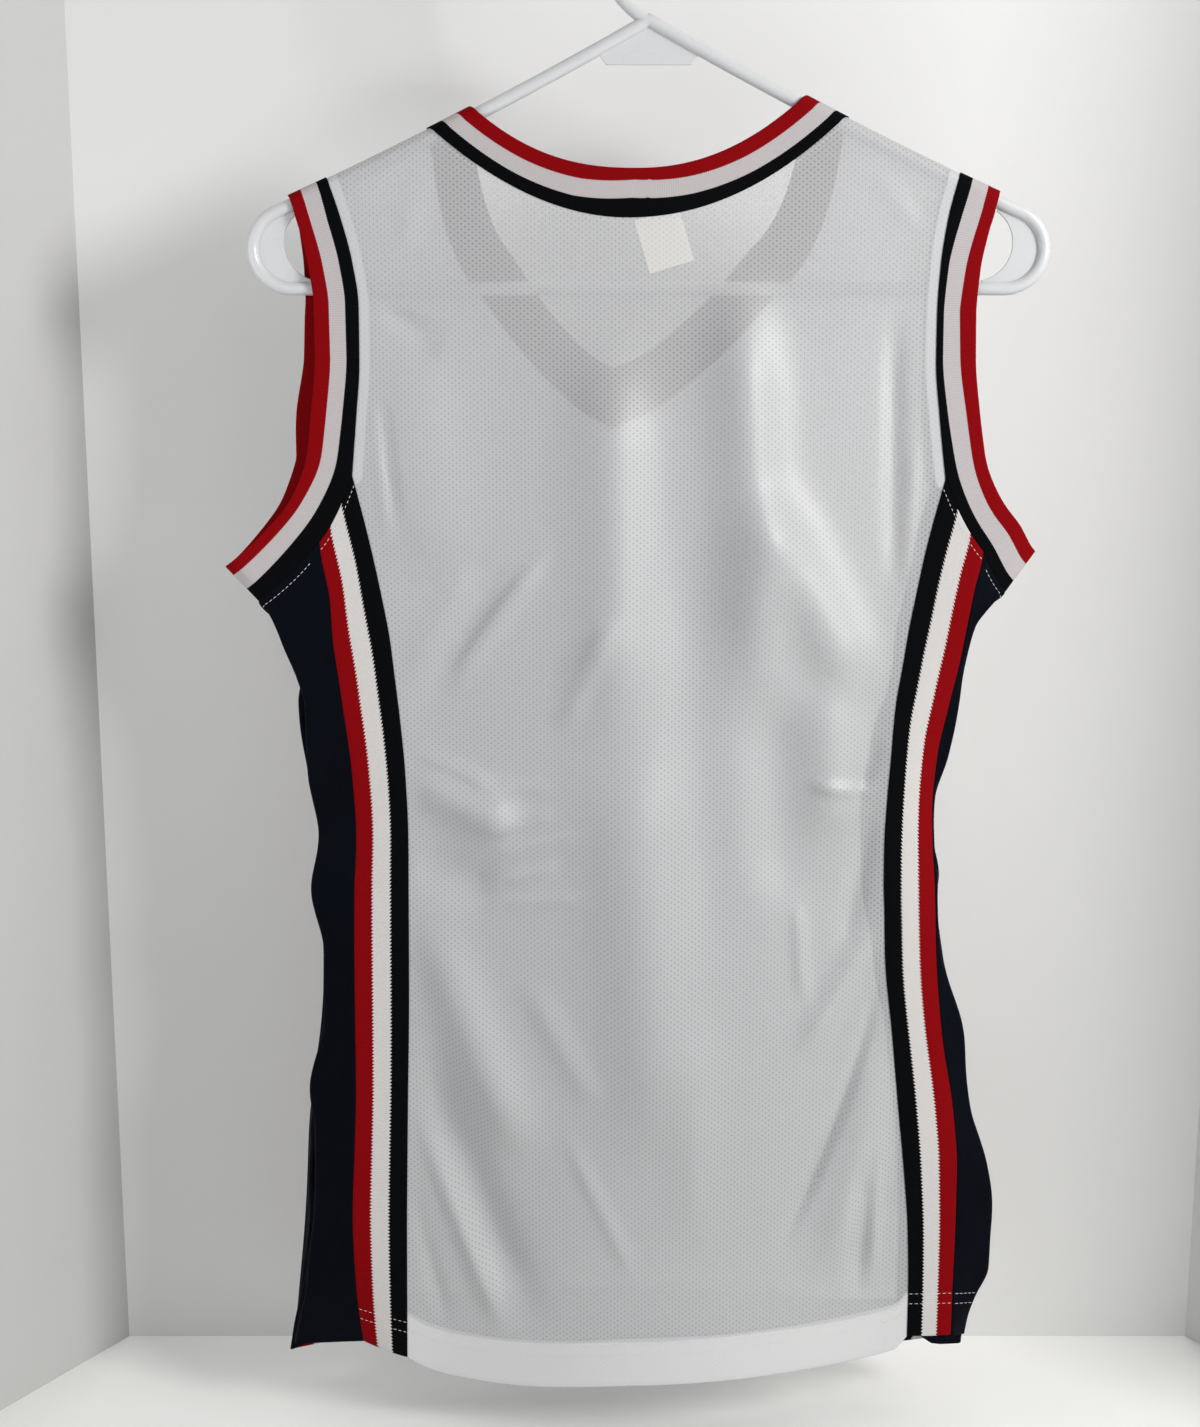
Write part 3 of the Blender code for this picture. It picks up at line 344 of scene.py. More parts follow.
@dataclass(frozen=True)
class Arm:
    """The hanger's arm and how cloth turns over it.

    wrap is the radius of that turn, and fade the way down in which the cloth leaves the arm's plane.
    """

    apex_z: float = -88 * MM
    slope: float = 0.55
    lift: float = 0.3
    wrap: float = 4.8 * MM
    fade: float = 50 * MM

    def height(self, x: Array) -> Array:
        """Height of the arm's middle line: apex - slope |x| + lift x^2."""
        reach = np.abs(x)
        return self.apex_z - self.slope * reach + self.lift * reach * reach

    def top(self, x: Array) -> Array:
        """Tape-measure height of the line along the top of the arm."""
        return self.height(x) + self.wrap * math.pi / 2

    def lay(self, x: Array, w: Array, away: Array, face: Face) -> Array:
        """Place flat points (x, w): a quarter turn over the arm, hanging below it.

        Above the arm's middle a point turns by (w - height) / wrap radius. Below it the point
        hangs at y = wrap radius + away, which fades in over the first few centimetres.

        Args:
            x: places across the jersey.
            w: tape-measure heights.
            away: how far the cloth stands off the wrap's plane.
            face: the side of the garment.

        Returns:
            Points, with one more axis than x.
        """
        over = w - self.height(x)
        turn = np.clip(over / self.wrap, 0, math.pi / 2)
        slope = self.slope - 2 * self.lift * np.abs(x)
        hanging = self.wrap + ease(-over / self.fade) * away
        y = np.where(over > 0, self.wrap * np.cos(turn), hanging)
        z = np.where(over > 0, self.height(x) + self.wrap * np.sin(turn) * np.hypot(1, slope), w)
        return np.stack([x, int(face) * y, z], axis=-1)


ARM = Arm()

# Height of the arm near the armholes' seams, from which their places on it are found
ARM_NEAR_SEAMS = -160 * MM

# Stops over the arm: shares of the quarter turn that still lie ahead, down to 0 on the arm's top
OVER_ARM = np.linspace(1, 0, 9)[1:]

# A fold dies away over this share of its length at both ends
FOLD_FADE = 0.3

# The side panel's rounded corners: their radius, and the least way and greatest share of a leg
# that a corner takes
CORNER_RADIUS = 2.6 * MM
CORNER_LEAST = 1.2 * MM
CORNER_SHARE = 0.42


def fold_height(x: Array, z: Array, folds: Array) -> Array:
    """Sum of soft ridges and troughs: a bell across each fold's line, dying away at its ends.

    Args:
        x: places across the panel.
        z: heights on the panel.
        folds: rows of x0, z0, x1, z1, half width, height and the bow of the fold's line.

    Returns:
        How far each point stands out.
    """
    total = np.zeros(np.broadcast(x, z).shape)
    for x0, z0, x1, z1, half_width, height, bow in folds:
        run = np.array([x1 - x0, z1 - z0])
        length = np.hypot(*run)
        along = ((x - x0) * run[0] + (z - z0) * run[1]) / length ** 2
        across = ((x - x0) * run[1] - (z - z0) * run[0]) / length
        across = across - 4 * bow * np.clip(along * (1 - along), 0, 1)
        total += height * np.exp(-(across / half_width) ** 2) * ease(np.minimum(along, 1 - along) / FOLD_FADE)
    return total


def rounded_corner(before: Array, corner: Array, after: Array, steps: int) -> list[Array]:
    """Replace a corner by an arc (a rational curve) whose middle is where the corner was.

    Args:
        before: point on the leg before the corner.
        corner: the corner.
        after: point on the leg after it.
        steps: spans of the arc.

    Returns:
        The arc's points, steps + 1 of them.
    """
    moved = corner
    for _ in range(4):
        first, second = before - moved, after - moved
        lengths = [np.linalg.norm(leg, axis=-1, keepdims=True) for leg in (first, second)]
        first, second = first / lengths[0], second / lengths[1]
        cosine = np.sum(first * second, axis=-1, keepdims=True)
        half_angle = 0.5 * np.arccos(np.clip(cosine, -0.999, 1))
        take = np.maximum(CORNER_RADIUS / np.tan(half_angle), CORNER_LEAST)
        take = np.minimum(take, CORNER_SHARE * np.minimum(*lengths))
        moved = corner - unit(first + second) * take * (1 / np.cos(half_angle) - np.tan(half_angle))
    start, end, weight = moved + first * take, moved + second * take, np.sin(half_angle)
    points = []
    for t in np.linspace(0, 1, steps + 1):
        shares = (1 - t) ** 2, 2 * weight * t * (1 - t), t * t
        points.append((shares[0] * start + shares[1] * moved + shares[2] * end) / sum(shares))
    return points


@dataclass(frozen=True)
class Side:
    """One side of the garment below and around its armhole.

    junction, corner and tip are heights: of the side tapes' top at the panel and at their outer
    edge, and of the side panel's top at the fold under the arm. hem holds the heights of the hem
    from the back panel round the side panel to the front panel.
    """

    name: str
    sign: int
    sections: Sections
    armhole: Sections
    trim: dict[str, Array]
    junction: float
    corner: float
    tip: float
    hem: Array
    ledge: float = 1.3 * MM
    ridge_inset: float = 0.2
    tape_dip: float = 3.5 * MM
    tip_dip: float = 2.5 * MM

    def depth(self, face: Face, z: Array) -> Array:
        """y of the panel's edge on one face."""
        return DEPTH.at(face.name.lower(), z)

    def panel_x(self, face: Face, z: Array) -> Array:
        """Read x of a mesh panel's edge, along its tape or its armhole.

        Args:
            face: the panel.
            z: heights.

        Returns:
            x at those heights.
        """
        if face == Face.BACK:
            low, high = self.sections.at("panel", z), self.armhole.at("seam", z)
        else:
            low = self.sections.at("front", z) - self.sign * FRONT_TAPE.at("width", z)
            high = self.armhole.at("seam", z) + self.armhole.at("front_shift", z)
        return np.where(z >= self.junction, high, low)

    def tape_x(self, face: Face, z: Array) -> Array:
        """x of the outer edge of a side tape."""
        return self.sections.at("tape" if face == Face.BACK else "front", z)

    def tape_y(self, face: Face, z: Array, across: Array) -> Array:
        """y on a side tape, whose outer edge turns a little towards the front at the back."""
        turn = DEPTH.at("turn_" + self.name, z) if face == Face.BACK else 0.0
        return self.depth(face, z) + turn * across ** 2

    def section(self, z: Array, steps: int = 8, legs: int = 6) -> Array:
        """Level sections of the side panel: ledge, ridge, inner pleat, ridge, ledge.

        Args:
            z: heights, in any shape.
            steps: spans of each rounded corner.
            legs: spans of each straight leg between them.

        Returns:
            (x, y) points, with two more axes than z: columns and the pair.
        """
        read = self.sections.at
        seams, ledges = [], []
        for face in Face:
            if face == Face.BACK:
                width = read("tape", z) - read("panel", z)
            else:
                width = self.sign * FRONT_TAPE.at("width", z)
            seam = np.stack([self.tape_x(face, z), self.tape_y(face, z, 1.0)], axis=-1)
            rise = self.tape_y(face, z, 1.0) - self.tape_y(face, z, 2 / 3)
            run = np.stack([width / 3, rise], axis=-1)
            seams.append(seam)
            ledges.append(seam + run * (self.ledge / np.linalg.norm(run, axis=-1, keepdims=True)))
        back, front = seams[0][..., 1], seams[1][..., 1]
        inset = self.ridge_inset * (front - back)
        corners = [np.stack(pair, axis=-1) for pair in (
            (read("ridge", z), back + inset), (read("pleat", z), (back + front) / 2),
            (read("front_ridge", z), front - inset))]
        ends = [ledges[0], *corners, ledges[1]]
        columns = [seams[0], ledges[0]]
        for before, corner, after in zip(ends, ends[1:], ends[2:]):
            arc = rounded_corner(before, corner, after, steps)
            start = columns[-1]
            columns += [start + (arc[0] - start) * t for t in np.linspace(0, 1, legs + 1)[1:-1]]
            columns += arc
        start = columns[-1]
        columns += [start + (ledges[1] - start) * t for t in np.linspace(0, 1, legs + 1)[1:]]
        return np.stack(columns + [seams[1]], axis=-2)

    def seam_line(self, towards_front: Array, x: Array) -> Array:
        """Height of the side panel's top edge: a shallow curve from each tape to the tip.

        Args:
            towards_front: whether each place lies on the front half.
            x: places across.

        Returns:
            Heights at those places.
        """
        start = np.where(towards_front, self.tape_x(Face.FRONT, self.corner),
                         self.tape_x(Face.BACK, self.corner))
        share = np.clip((x - start) / (self.sections.at("pleat", self.tip) - start), 0, 1)
        return self.corner + (self.tip - self.corner) * share - 4 * self.tip_dip * share * (1 - share)


LEFT = Side("left", -1, LEFT_SECTIONS, LEFT_ARMHOLE, LEFT_TRIM, -319 * MM, -354 * MM, -386 * MM,
            np.array([-819, -812, -818, -801, -828, -838, -831]) * MM)
RIGHT = Side("right", 1, RIGHT_SECTIONS, RIGHT_ARMHOLE, RIGHT_TRIM, -321 * MM, -359 * MM, -381 * MM,
             np.array([-806, -806, -815, -812, -828, -830, -834]) * MM)


@dataclass(frozen=True)
class Form:
    """The jersey's surfaces, as functions of a place along and a place across each piece.

    solid_rows holds, for each face, how many rows the solids have beside the tape, up the
    armhole below the neck's middle, and above it; the surface between them follows that count.
    """

    sides: tuple[Side, Side]
    solid_rows: dict[Face, tuple[int, int, int]] = field(
        default_factory=lambda: {Face.BACK: (27, 4, 5), Face.FRONT: (27, 1, 8)})

    def away(self, x: Array, z: Array, face: Face) -> Array:
        """How far a panel stands off the wrap's plane: its edges' depth, its bulge and folds.

        Args:
            x: places across the panel.
            z: heights on it.
            face: the panel.

        Returns:
            Distances outwards.
        """
        left, right = (side.panel_x(face, z) for side in self.sides)
        across = np.clip((2 * x - left - right) / (right - left), -1, 1)
        name = face.name.lower()
        edge = np.abs(DEPTH.at(name, z)) - ARM.wrap
        folds = fold_height(x, z, BACK_FOLDS if face == Face.BACK else FRONT_FOLDS)
        if face == Face.BACK:
            folds = folds + fold_height(x, z, BACK_CREASES)
        return edge + DEPTH.at(name + "_bulge", z) * (1 - across ** 2) ** 2 + folds * (1 - across ** 6)

    def wrap_points(self, side: Side, face: Face, stops: Array) -> Array:
        """Flat points of the armhole's seam on the quarter turn, found by repeated reading.

        Args:
            side: the armhole.
            face: the panel.
            stops: shares of the turn below the arm's top.

        Returns:
            (x, w) points.
        """
        drop = stops * ARM.wrap * math.pi / 2
        w = np.full(len(drop), ARM_NEAR_SEAMS)
        for _ in range(8):
            w = ARM.top(side.panel_x(face, w)) - drop
        return np.stack([side.panel_x(face, w), w], axis=-1)

    def strap_start(self, side: Side, face: Face) -> float:
        """Height of the armhole's seam level with the row through the middle of the neck.

        Args:
            side: the armhole.
            face: the panel.

        Returns:
            The height.
        """
        _, below, above = self.solid_rows[face]
        top = self.wrap_points(side, face, np.array([1.0]))[0, 1]
        return side.junction + (top - side.junction) * below / (below + above)

    def edge_points(self, side: Side, face: Face, rows: Array) -> Array:
        """Flat points up a panel's edge.

        Args:
            side: the edge.
            face: the panel.
            rows: places, where 0 is the hem, 1 the tape's top and 2 the strap's start.

        Returns:
            (x, w) points.
        """
        hem = side.hem[0] if face == Face.BACK else side.hem[-1]
        start = self.strap_start(side, face)
        z = np.where(rows <= 1, hem + (side.junction - hem) * rows,
                     side.junction + (start - side.junction) * (rows - 1))
        return np.stack([side.panel_x(face, z), z], axis=-1)

    def strap_points(self, side: Side, face: Face, up: Array, stops: Array) -> Array:
        """Flat points of the armhole's seam, up to the arm and over it.

        Args:
            side: the armhole.
            face: the panel.
            up: places from the strap's start (0) to the arm (1).
            stops: shares of the turn over the arm.

        Returns:
            (x, w) points.
        """
        wrap = self.wrap_points(side, face, np.concatenate([[1.0], stops]))
        start = self.strap_start(side, face)
        z = start + (wrap[0, 1] - start) * up
        return np.concatenate([np.stack([side.panel_x(face, z), z], axis=-1), wrap[1:]])

    def neck_point(self, face: Face, line: NeckLine, side: Side, q: Array) -> Array:
        """Flat point of a neck line from its middle (q = 0) to the shoulder (q = 1).

        On the back it rises with a power of q; on the front it follows the V's own table.

        Args:
            face: the panel.
            line: the seam or the free edge.
            side: the half.
            q: places along the line.

        Returns:
            (x, w) points.
        """
        middle_x, middle_z = (place * MM for place in NECK_MIDDLES[face, line])
        end_x = NECK_ENDS[side.name, line] * MM
        if face == Face.BACK:
            rise = q ** BACK_NECK_POWERS[side.name, line]
        else:
            rise = smooth_read(V_SHARES, V_RISES, q)
        x = middle_x + (end_x - middle_x) * q
        return np.stack([x, middle_z + (ARM.top(end_x) - middle_z) * rise], axis=-1)

    def neck_points(self, face: Face, line: NeckLine, side: Side, up: Array, stops: Array) -> Array:
        """Flat points along half a neck line: even lengths up to the arm, then over it.

        Args:
            face: the panel.
            line: the seam or the free edge.
            side: the half.
            up: shares of the length up to the arm.
            stops: shares of the turn over the arm.

        Returns:
            (x, w) points.
        """
        q = np.linspace(0, 1, 900)
        curve = self.neck_point(face, line, side, q)
        drop = ARM.top(curve[:, 0]) - curve[:, 1]
        places = np.concatenate([[1.0], stops]) * ARM.wrap * math.pi / 2
        ends = np.interp(places, drop[::-1], q[::-1])
        length = lengths_along(curve)
        even = up * np.interp(ends[0], q, length)
        return self.neck_point(face, line, side, np.concatenate([np.interp(even, length, q), ends[1:]]))

    @staticmethod
    def across_strap(outer: Array, inner: Array, shares: Array, level: Array | float = 1.0) -> Array:
        """Rows of flat points from one edge of a strap to the other.

        Args:
            outer: points of the first edge.
            inner: points of the second edge.
            shares: places across, from 0 to 1.
            level: for each row, 0 where it is straight and 1 where it is level with the arm.

        Returns:
            A grid of (x, w).
        """
        t = np.atleast_2d(shares)[..., None]
        flat = outer[:, None] * (1 - t) + inner[:, None] * t
        drops = [ARM.top(edge[:, 0]) - edge[:, 1] for edge in (outer, inner)]
        drop = drops[0][:, None] * (1 - t[..., 0]) + drops[1][:, None] * t[..., 0]
        share = np.reshape(level, (-1, 1))
        flat[..., 1] += (ARM.top(flat[..., 0]) - drop - flat[..., 1]) * share
        return flat

    def body_points(self, face: Face, rows: Array, half_columns: int) -> Array:
        """Flat points of a panel below its straps.

        A Coons patch: opposite edges are blended both ways, and the blend of the corners is
        taken away.

        Args:
            face: the side of the garment.
            rows: places up the panel, 0 at the hem and 2 at the straps' start.
            half_columns: spans across half the panel.

        Returns:
            A grid of (x, w).
        """
        shares = np.linspace(0, 1, half_columns + 1)
        none = np.zeros(0)
        starts = [self.strap_points(side, face, np.zeros(1), none) for side in self.sides]
        necks = [self.neck_points(face, NeckLine.SEAM, side, np.zeros(1), none) for side in self.sides]
        top = np.concatenate([self.across_strap(starts[0], necks[0], shares, 0.0)[0],
                              self.across_strap(necks[1], starts[1], shares, 0.0)[0][1:]])
        left, right = (self.edge_points(side, face, rows) for side in self.sides)
        corners = [self.edge_points(side, face, np.zeros(1))[0] for side in self.sides]
        hem_x, hem_z = (BACK_HEM_X, BACK_HEM_Z) if face == Face.BACK else (FRONT_HEM_X, FRONT_HEM_Z)
        x = np.linspace(corners[0][0], corners[1][0], len(top))
        bottom = np.stack([x, smooth_read(hem_x, hem_z, x)], axis=-1)
        beside, below, _ = self.solid_rows[face]
        v = np.where(rows <= 1, rows * beside, beside + (rows - 1) * below) / (beside + below)
        v = v[:, None, None]
        s = np.linspace(0, 1, len(top))[None, :, None]
        blend = ((1 - s) * (1 - v) * bottom[0] + s * (1 - v) * bottom[-1]
                 + (1 - s) * v * top[0] + s * v * top[-1])
        return ((1 - v) * bottom[None] + v * top[None]
                + (1 - s) * left[:, None] + s * right[:, None] - blend)

    def place(self, flat: Array, face: Face) -> Array:
        """Put flat points of a panel in space."""
        return ARM.lay(flat[..., 0], flat[..., 1], self.away(flat[..., 0], flat[..., 1], face), face)

    def tape_points(self, side: Side, face: Face, rows: Array, shares: Array) -> Array:
        """A side tape.

        Args:
            side: the side of the garment.
            face: the panel that it is sewn to.
            rows: places up its length, from 0 to 1.
            shares: places across it, from the panel (0) to its outer edge (1).

        Returns:
            A grid of points.
        """
        hem = side.hem[:2] if face == Face.BACK else side.hem[:-3:-1]
        r, t = rows[:, None], shares[None, :]
        inner_z = hem[0] + (side.junction - hem[0]) * r
        outer_z = hem[1] + (side.corner - hem[1]) * r
        z = inner_z + (outer_z - inner_z) * t - 4 * side.tape_dip * t * (1 - t) * r ** 2
        inner_x, outer_x = side.panel_x(face, inner_z), side.tape_x(face, outer_z)
        return np.stack([inner_x + (outer_x - inner_x) * t, side.tape_y(face, z, t), z], axis=-1)

    def side_points(self, side: Side, rows: Array) -> Array:
        """A side panel: its pleated section carried from the hem to the slanted top edge.

        The top edge is found by 14 rounds of reading the section at the last heights.

        Args:
            side: the side of the garment.
            rows: places up the panel, from 0 to 1.

        Returns:
            A grid of points.
        """
        count = side.section(np.array([side.tip])).shape[-2]
        index = np.arange(count)
        top = np.full(count, side.corner)
        for _ in range(14):
            x = side.section(top)[index, index, 0]
            top = side.seam_line(index >= count / 2, x)
        around = side.section(np.array([0.5 * (side.hem[2] + side.corner)]))[0]
        length = lengths_along(around)
        hems = smooth_read(np.linspace(0, 1, 5), side.hem[1:-1], length / length[-1])
        z = hems + (top - hems) * rows[:, None]
        return np.stack([
            np.concatenate([side.section(z[:, j])[:, j], z[:, j:j + 1]], axis=1) for j in index], axis=1)

    @staticmethod
    def stripe_shares(face: Face, read: dict[str, Array], columns: int) -> Array:
        """Shares across a trim with the same number of columns on each of its three stripes.

        Args:
            face: the panel; at the front the stripes are thirds.
            read: shares at which navy and white end.
            columns: spans across each stripe.

        Returns:
            A row of shares for each place along the trim.
        """
        navy, white = read["navy"], read["white"]
        none = np.zeros_like(navy)
        if face == Face.FRONT:
            navy, white = none + 1 / 3, none + 2 / 3
        marks = np.stack([none, navy, white, none + 1], axis=-1)
        s = np.linspace(0, 3, 3 * columns + 1)
        k = np.minimum(s.astype(int), 2)
        return marks[..., k] + (marks[..., k + 1] - marks[..., k]) * (s - k)

    def trim_points(self, side: Side, flat: Array, station: Array, face: Face, columns: int) -> Array:
        """Flat points across an armhole trim, from its seam out to its free edge.

        Args:
            side: the armhole.
            flat: (x, w) points of the seam.
            station: their stations in the trim's table.
            face: the panel.
            columns: spans across each stripe.

        Returns:
            A grid of (x, w).
        """
        read = {name: np.interp(station, TRIM_STATIONS, values) for name, values in side.trim.items()}
        lean, clear = np.radians(read["lean"])[:, None], np.clip(station, 0, 1)[:, None]
        reach = self.stripe_shares(face, read, columns) * read["width"][:, None] * MM
        x = flat[:, :1] + side.sign * reach * np.cos(lean)
        level = ARM.top(x) - ARM.top(flat[:, :1])
        return np.stack([x, flat[:, 1:] + level * (1 - clear) + reach * np.sin(lean) * clear], axis=-1)

    @staticmethod
    def smooth_bend(half: Array, below: int) -> Array:
        """Let a trim run in a smooth bend past the top of the tape; its seam keeps its line.

        Each row is averaged 14 times with its neighbours, with weights that fall to 0 at the seam,
        at the fold under the arm and above the bend.

        Args:
            half: the trim on one face, from the shoulder to the fold.
            below: rows that lie below the armhole's seam.

        Returns:
            The smoothed grid.
        """
        rows = np.arange(len(half))
        reach = ease((rows - (len(half) - below - 16)) / 8) * ease((len(half) - 1 - rows) / 6)
        weight = reach[:, None, None] * ease(3 * np.linspace(0, 1, half.shape[1]))[:, None]
        for _ in range(14):
            inner = 0.25 * half[:-2] + 0.5 * half[1:-1] + 0.25 * half[2:]
            mean = np.concatenate([half[:1], inner, half[-1:]])
            half = half + (mean - half) * weight
        return half

    def armhole_ring(self, side: Side, columns: int) -> Array:
        """An armhole trim: over the arm, down the back, folded under the arm and up the front.

        Args:
            side: the armhole.
            columns: spans across each stripe.

        Returns:
            A grid of points, a ring.
        """
        up = np.linspace(0, 1, 40)
        panel = self.side_points(side, np.ones(1))[0]
        middle = len(panel) // 2
        halves = []
        for face in Face:
            start = self.edge_points(side, face, np.linspace(1, 2, 30))
            edge = np.concatenate([start[:-1], self.strap_points(side, face, up, OVER_ARM)])
            away = (np.abs(side.depth(face, edge[:, 1])) - ARM.wrap)[:, None]
            station = np.interp(-edge[:, 1], TRIM_HEIGHTS, TRIM_STATIONS[:len(TRIM_HEIGHTS)])
            flat = self.trim_points(side, edge, station, face, columns)
            upper = ARM.lay(flat[..., 0], flat[..., 1], away + 0 * flat[..., 0], face)
            tape = self.tape_points(side, face, np.ones(1), np.linspace(0, 1, 16))[0]
            top = panel[1:middle + 1] if face == Face.BACK else panel[:middle - 1:-1]
            seam = np.concatenate([tape[1:], top])
            station = np.concatenate([np.linspace(6, 8, 16)[1:],
                                      8 + (tape[-1, 2] - top[:, 2]) / (tape[-1, 2] - top[-1, 2])])
            flat = self.trim_points(side, seam[:, ::2], station, face, columns)
            lower = np.stack([flat[..., 0], seam[:, 1:2] + 0 * flat[..., 0], flat[..., 1]], axis=-1)
            halves.append(self.smooth_bend(np.concatenate([upper[::-1], lower]), len(lower)))
        back, front = halves
        return np.concatenate([back, front[-2:0:-1]])

    def neck_ring(self, columns: int) -> Array:
        """The neck trim: from the middle of the back over both shoulders to the point of the V.

        Args:
            columns: spans across each stripe.

        Returns:
            A grid of points, a ring.
        """
        up = np.linspace(0, 1, 90)
        quarters = {}
        for face in Face:
            for side in self.sides:
                seam, edge = (self.neck_points(face, line, side, up, OVER_ARM) for line in NeckLine)
                place = (seam[:, 0] - seam[0, 0]) / (seam[-1, 0] - seam[0, 0])
                read = {name: np.interp(place, NECK_PLACES, values)
                        for name, values in NECK_STRIPES[side.name].items()}
                flat = self.across_strap(seam, edge, self.stripe_shares(face, read, columns))
                away = self.away(seam[:, 0], seam[:, 1], face)[:, None]
                x, w = flat[..., 0], flat[..., 1]
                quarters[face, side.name] = ARM.lay(x, w, away + 0 * x, face)
        return np.concatenate([quarters[Face.BACK, "left"], quarters[Face.FRONT, "left"][-2::-1],
                               quarters[Face.FRONT, "right"][1:], quarters[Face.BACK, "right"][-2:0:-1]])


FORM = Form((LEFT, RIGHT))


# ---------------- meshes from grids

def grid_quads(rows: int, columns: int) -> Array:
    """Corner numbers of a grid's quads, four for each, row after row."""
    first = np.arange(rows - 1)[:, None] * columns + np.arange(columns - 1)
    return np.stack([first, first + 1, first + columns + 1, first + columns], axis=-1).reshape(-1, 4)


@dataclass
class Patch:
    """A grid of points with its flat coordinates, ready to be made a mesh.

    uv has a row more than points where the grid is a ring whose last row joins its first.
    backed tells how far a seam or hem backs each point.
    """

    points: Array
    uv: Array
    backed: Array | None = None


def grid_normals(points: Array) -> Array:
    """Unit normals of a grid: the cross product of its two runs at each point."""
    normals = np.cross(np.gradient(points, axis=0), np.gradient(points, axis=1))
    return normals / np.maximum(np.linalg.norm(normals, axis=-1, keepdims=True), 1e-12)


def grid_of(across: Array, along: Array) -> Array:
    """Flat coordinates of a grid whose columns lie at across and whose rows lie at along."""
    return np.stack(np.broadcast_arrays(across[None, :], along[:, None]), axis=-1)


def flat_mesh(name: str, points: Array, corners: Array, flat: Array, flat_corners: Array) -> Mesh:
    """Make a mesh whose UV map, named flat, holds its flat coordinates.

    Args:
        name: the mesh's name.
        points: its points.
        corners: numbers of the points at each quad's corners.
        flat: its flat coordinates.
        flat_corners: numbers of the flat coordinates at each quad's corners.

    Returns:
        The mesh.
    """
    mesh = bpy.data.meshes.new(name)
    mesh.from_pydata(points, [], corners)
    layer = mesh.uv_layers.new(name="flat")
    layer.data.foreach_set("uv", flat[flat_corners.reshape(-1)].reshape(-1).astype(np.float32))
    return mesh


def weld(mesh: Mesh, distance: float, turn_outwards: bool = False) -> None:
    """Merge points that lie on each other.

    Args:
        mesh: the mesh.
        distance: how near such points lie.
        turn_outwards: whether the faces of closed shells are turned outwards as well.
    """
    work = bmesh.new()
    work.from_mesh(mesh)
    bmesh.ops.remove_doubles(work, verts=work.verts, dist=distance)
    if turn_outwards:
        bmesh.ops.recalc_face_normals(work, faces=work.faces)
    work.to_mesh(mesh)
    work.free()


def place_in_scene(name: str, data: bpy.types.ID) -> Object:
    """Put a mesh, a light or a camera in the scene.

    Args:
        name: the object's name.
        data: the mesh, light or camera.

    Returns:
        The object, at the origin.
    """
    thing = bpy.data.objects.new(name, data)
    bpy.context.scene.collection.objects.link(thing)
    return thing


def make_piece(name: str, patches: list[Patch], outward: Point) -> Object:
    """Make one mesh object out of grids, welded where they share an edge.

    Args:
        name: the object's name.
        patches: the grids.
        outward: roughly the way the first quad faces.

    Returns:
        The object, at the origin.
    """
    verts, quads, uv_quads, uvs, backed = [], [], [], [], []
    vert_count = uv_count = 0
    for patch in patches:
        rows, columns = patch.points.shape[:2]
        verts.append(patch.points.reshape(-1, 3))
        uvs.append(patch.uv.reshape(-1, 2))
        corners = grid_quads(len(patch.uv), columns)
        uv_quads.append(corners + uv_count)
        quads.append(corners % (rows * columns) + vert_count)
        backed.append(np.zeros(rows * columns) if patch.backed is None else patch.backed.reshape(-1))
        vert_count += len(verts[-1])
        uv_count += len(uvs[-1])
    points, corners, flat_corners = (np.concatenate(part) for part in (verts, quads, uv_quads))
    a, b, _, d = (points[corners[0, k]] for k in range(4))
    if np.dot(np.cross(b - a, d - a), outward) < 0:
        corners, flat_corners = corners[:, ::-1], flat_corners[:, ::-1]
    mesh = flat_mesh(name, points, corners, np.concatenate(uvs), flat_corners)
    attribute = mesh.attributes.new("backed", "FLOAT", "POINT")
    attribute.data.foreach_set("value", np.concatenate(backed).astype(np.float32))
    weld(mesh, 0.01 * MM)
    mesh.shade_smooth()
    return place_in_scene(name, mesh)


def give_wall(piece: Object, wall: float, rounding: float = 0.0) -> None:
    """Give a sheet its wall.

    Args:
        piece: the sheet.
        wall: the wall's thickness, half on each side.
        rounding: how far its edges are rounded, or 0.
    """
    solidify = piece.modifiers.new("wall", "SOLIDIFY")
    solidify.thickness, solidify.offset = wall, 0.0
    if rounding:
        bevel = piece.modifiers.new("rolled_edge", "BEVEL")
        bevel.width, bevel.segments = rounding, 2
        bevel.limit_method, bevel.angle_limit = "ANGLE", math.radians(60)


def carry(piece: Object, material: Material, slot: str, *nodes: str) -> None:
    """Dress a piece and let it ride on the jersey.

    Args:
        piece: the piece.
        material: its finish.
        slot: not used.
        nodes: the solids that it stands for.
    """
    piece.data.materials.append(material)
    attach(piece, BODY)
    if nodes:
        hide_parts(*nodes)
    LOG.info("%s: %d faces", piece.name, len(piece.data.polygons))


# ---------------- finishes

def linear(colour: str) -> tuple[float, float, float, float]:
    """Turn an sRGB hex colour into linear red, green, blue and alpha."""
    values = (int(colour[i:i + 2], 16) / 255 for i in (1, 3, 5))
    return (*(v / 12.92 if v <= 0.04045 else ((v + 0.055) / 1.055) ** 2.4 for v in values), 1.0)


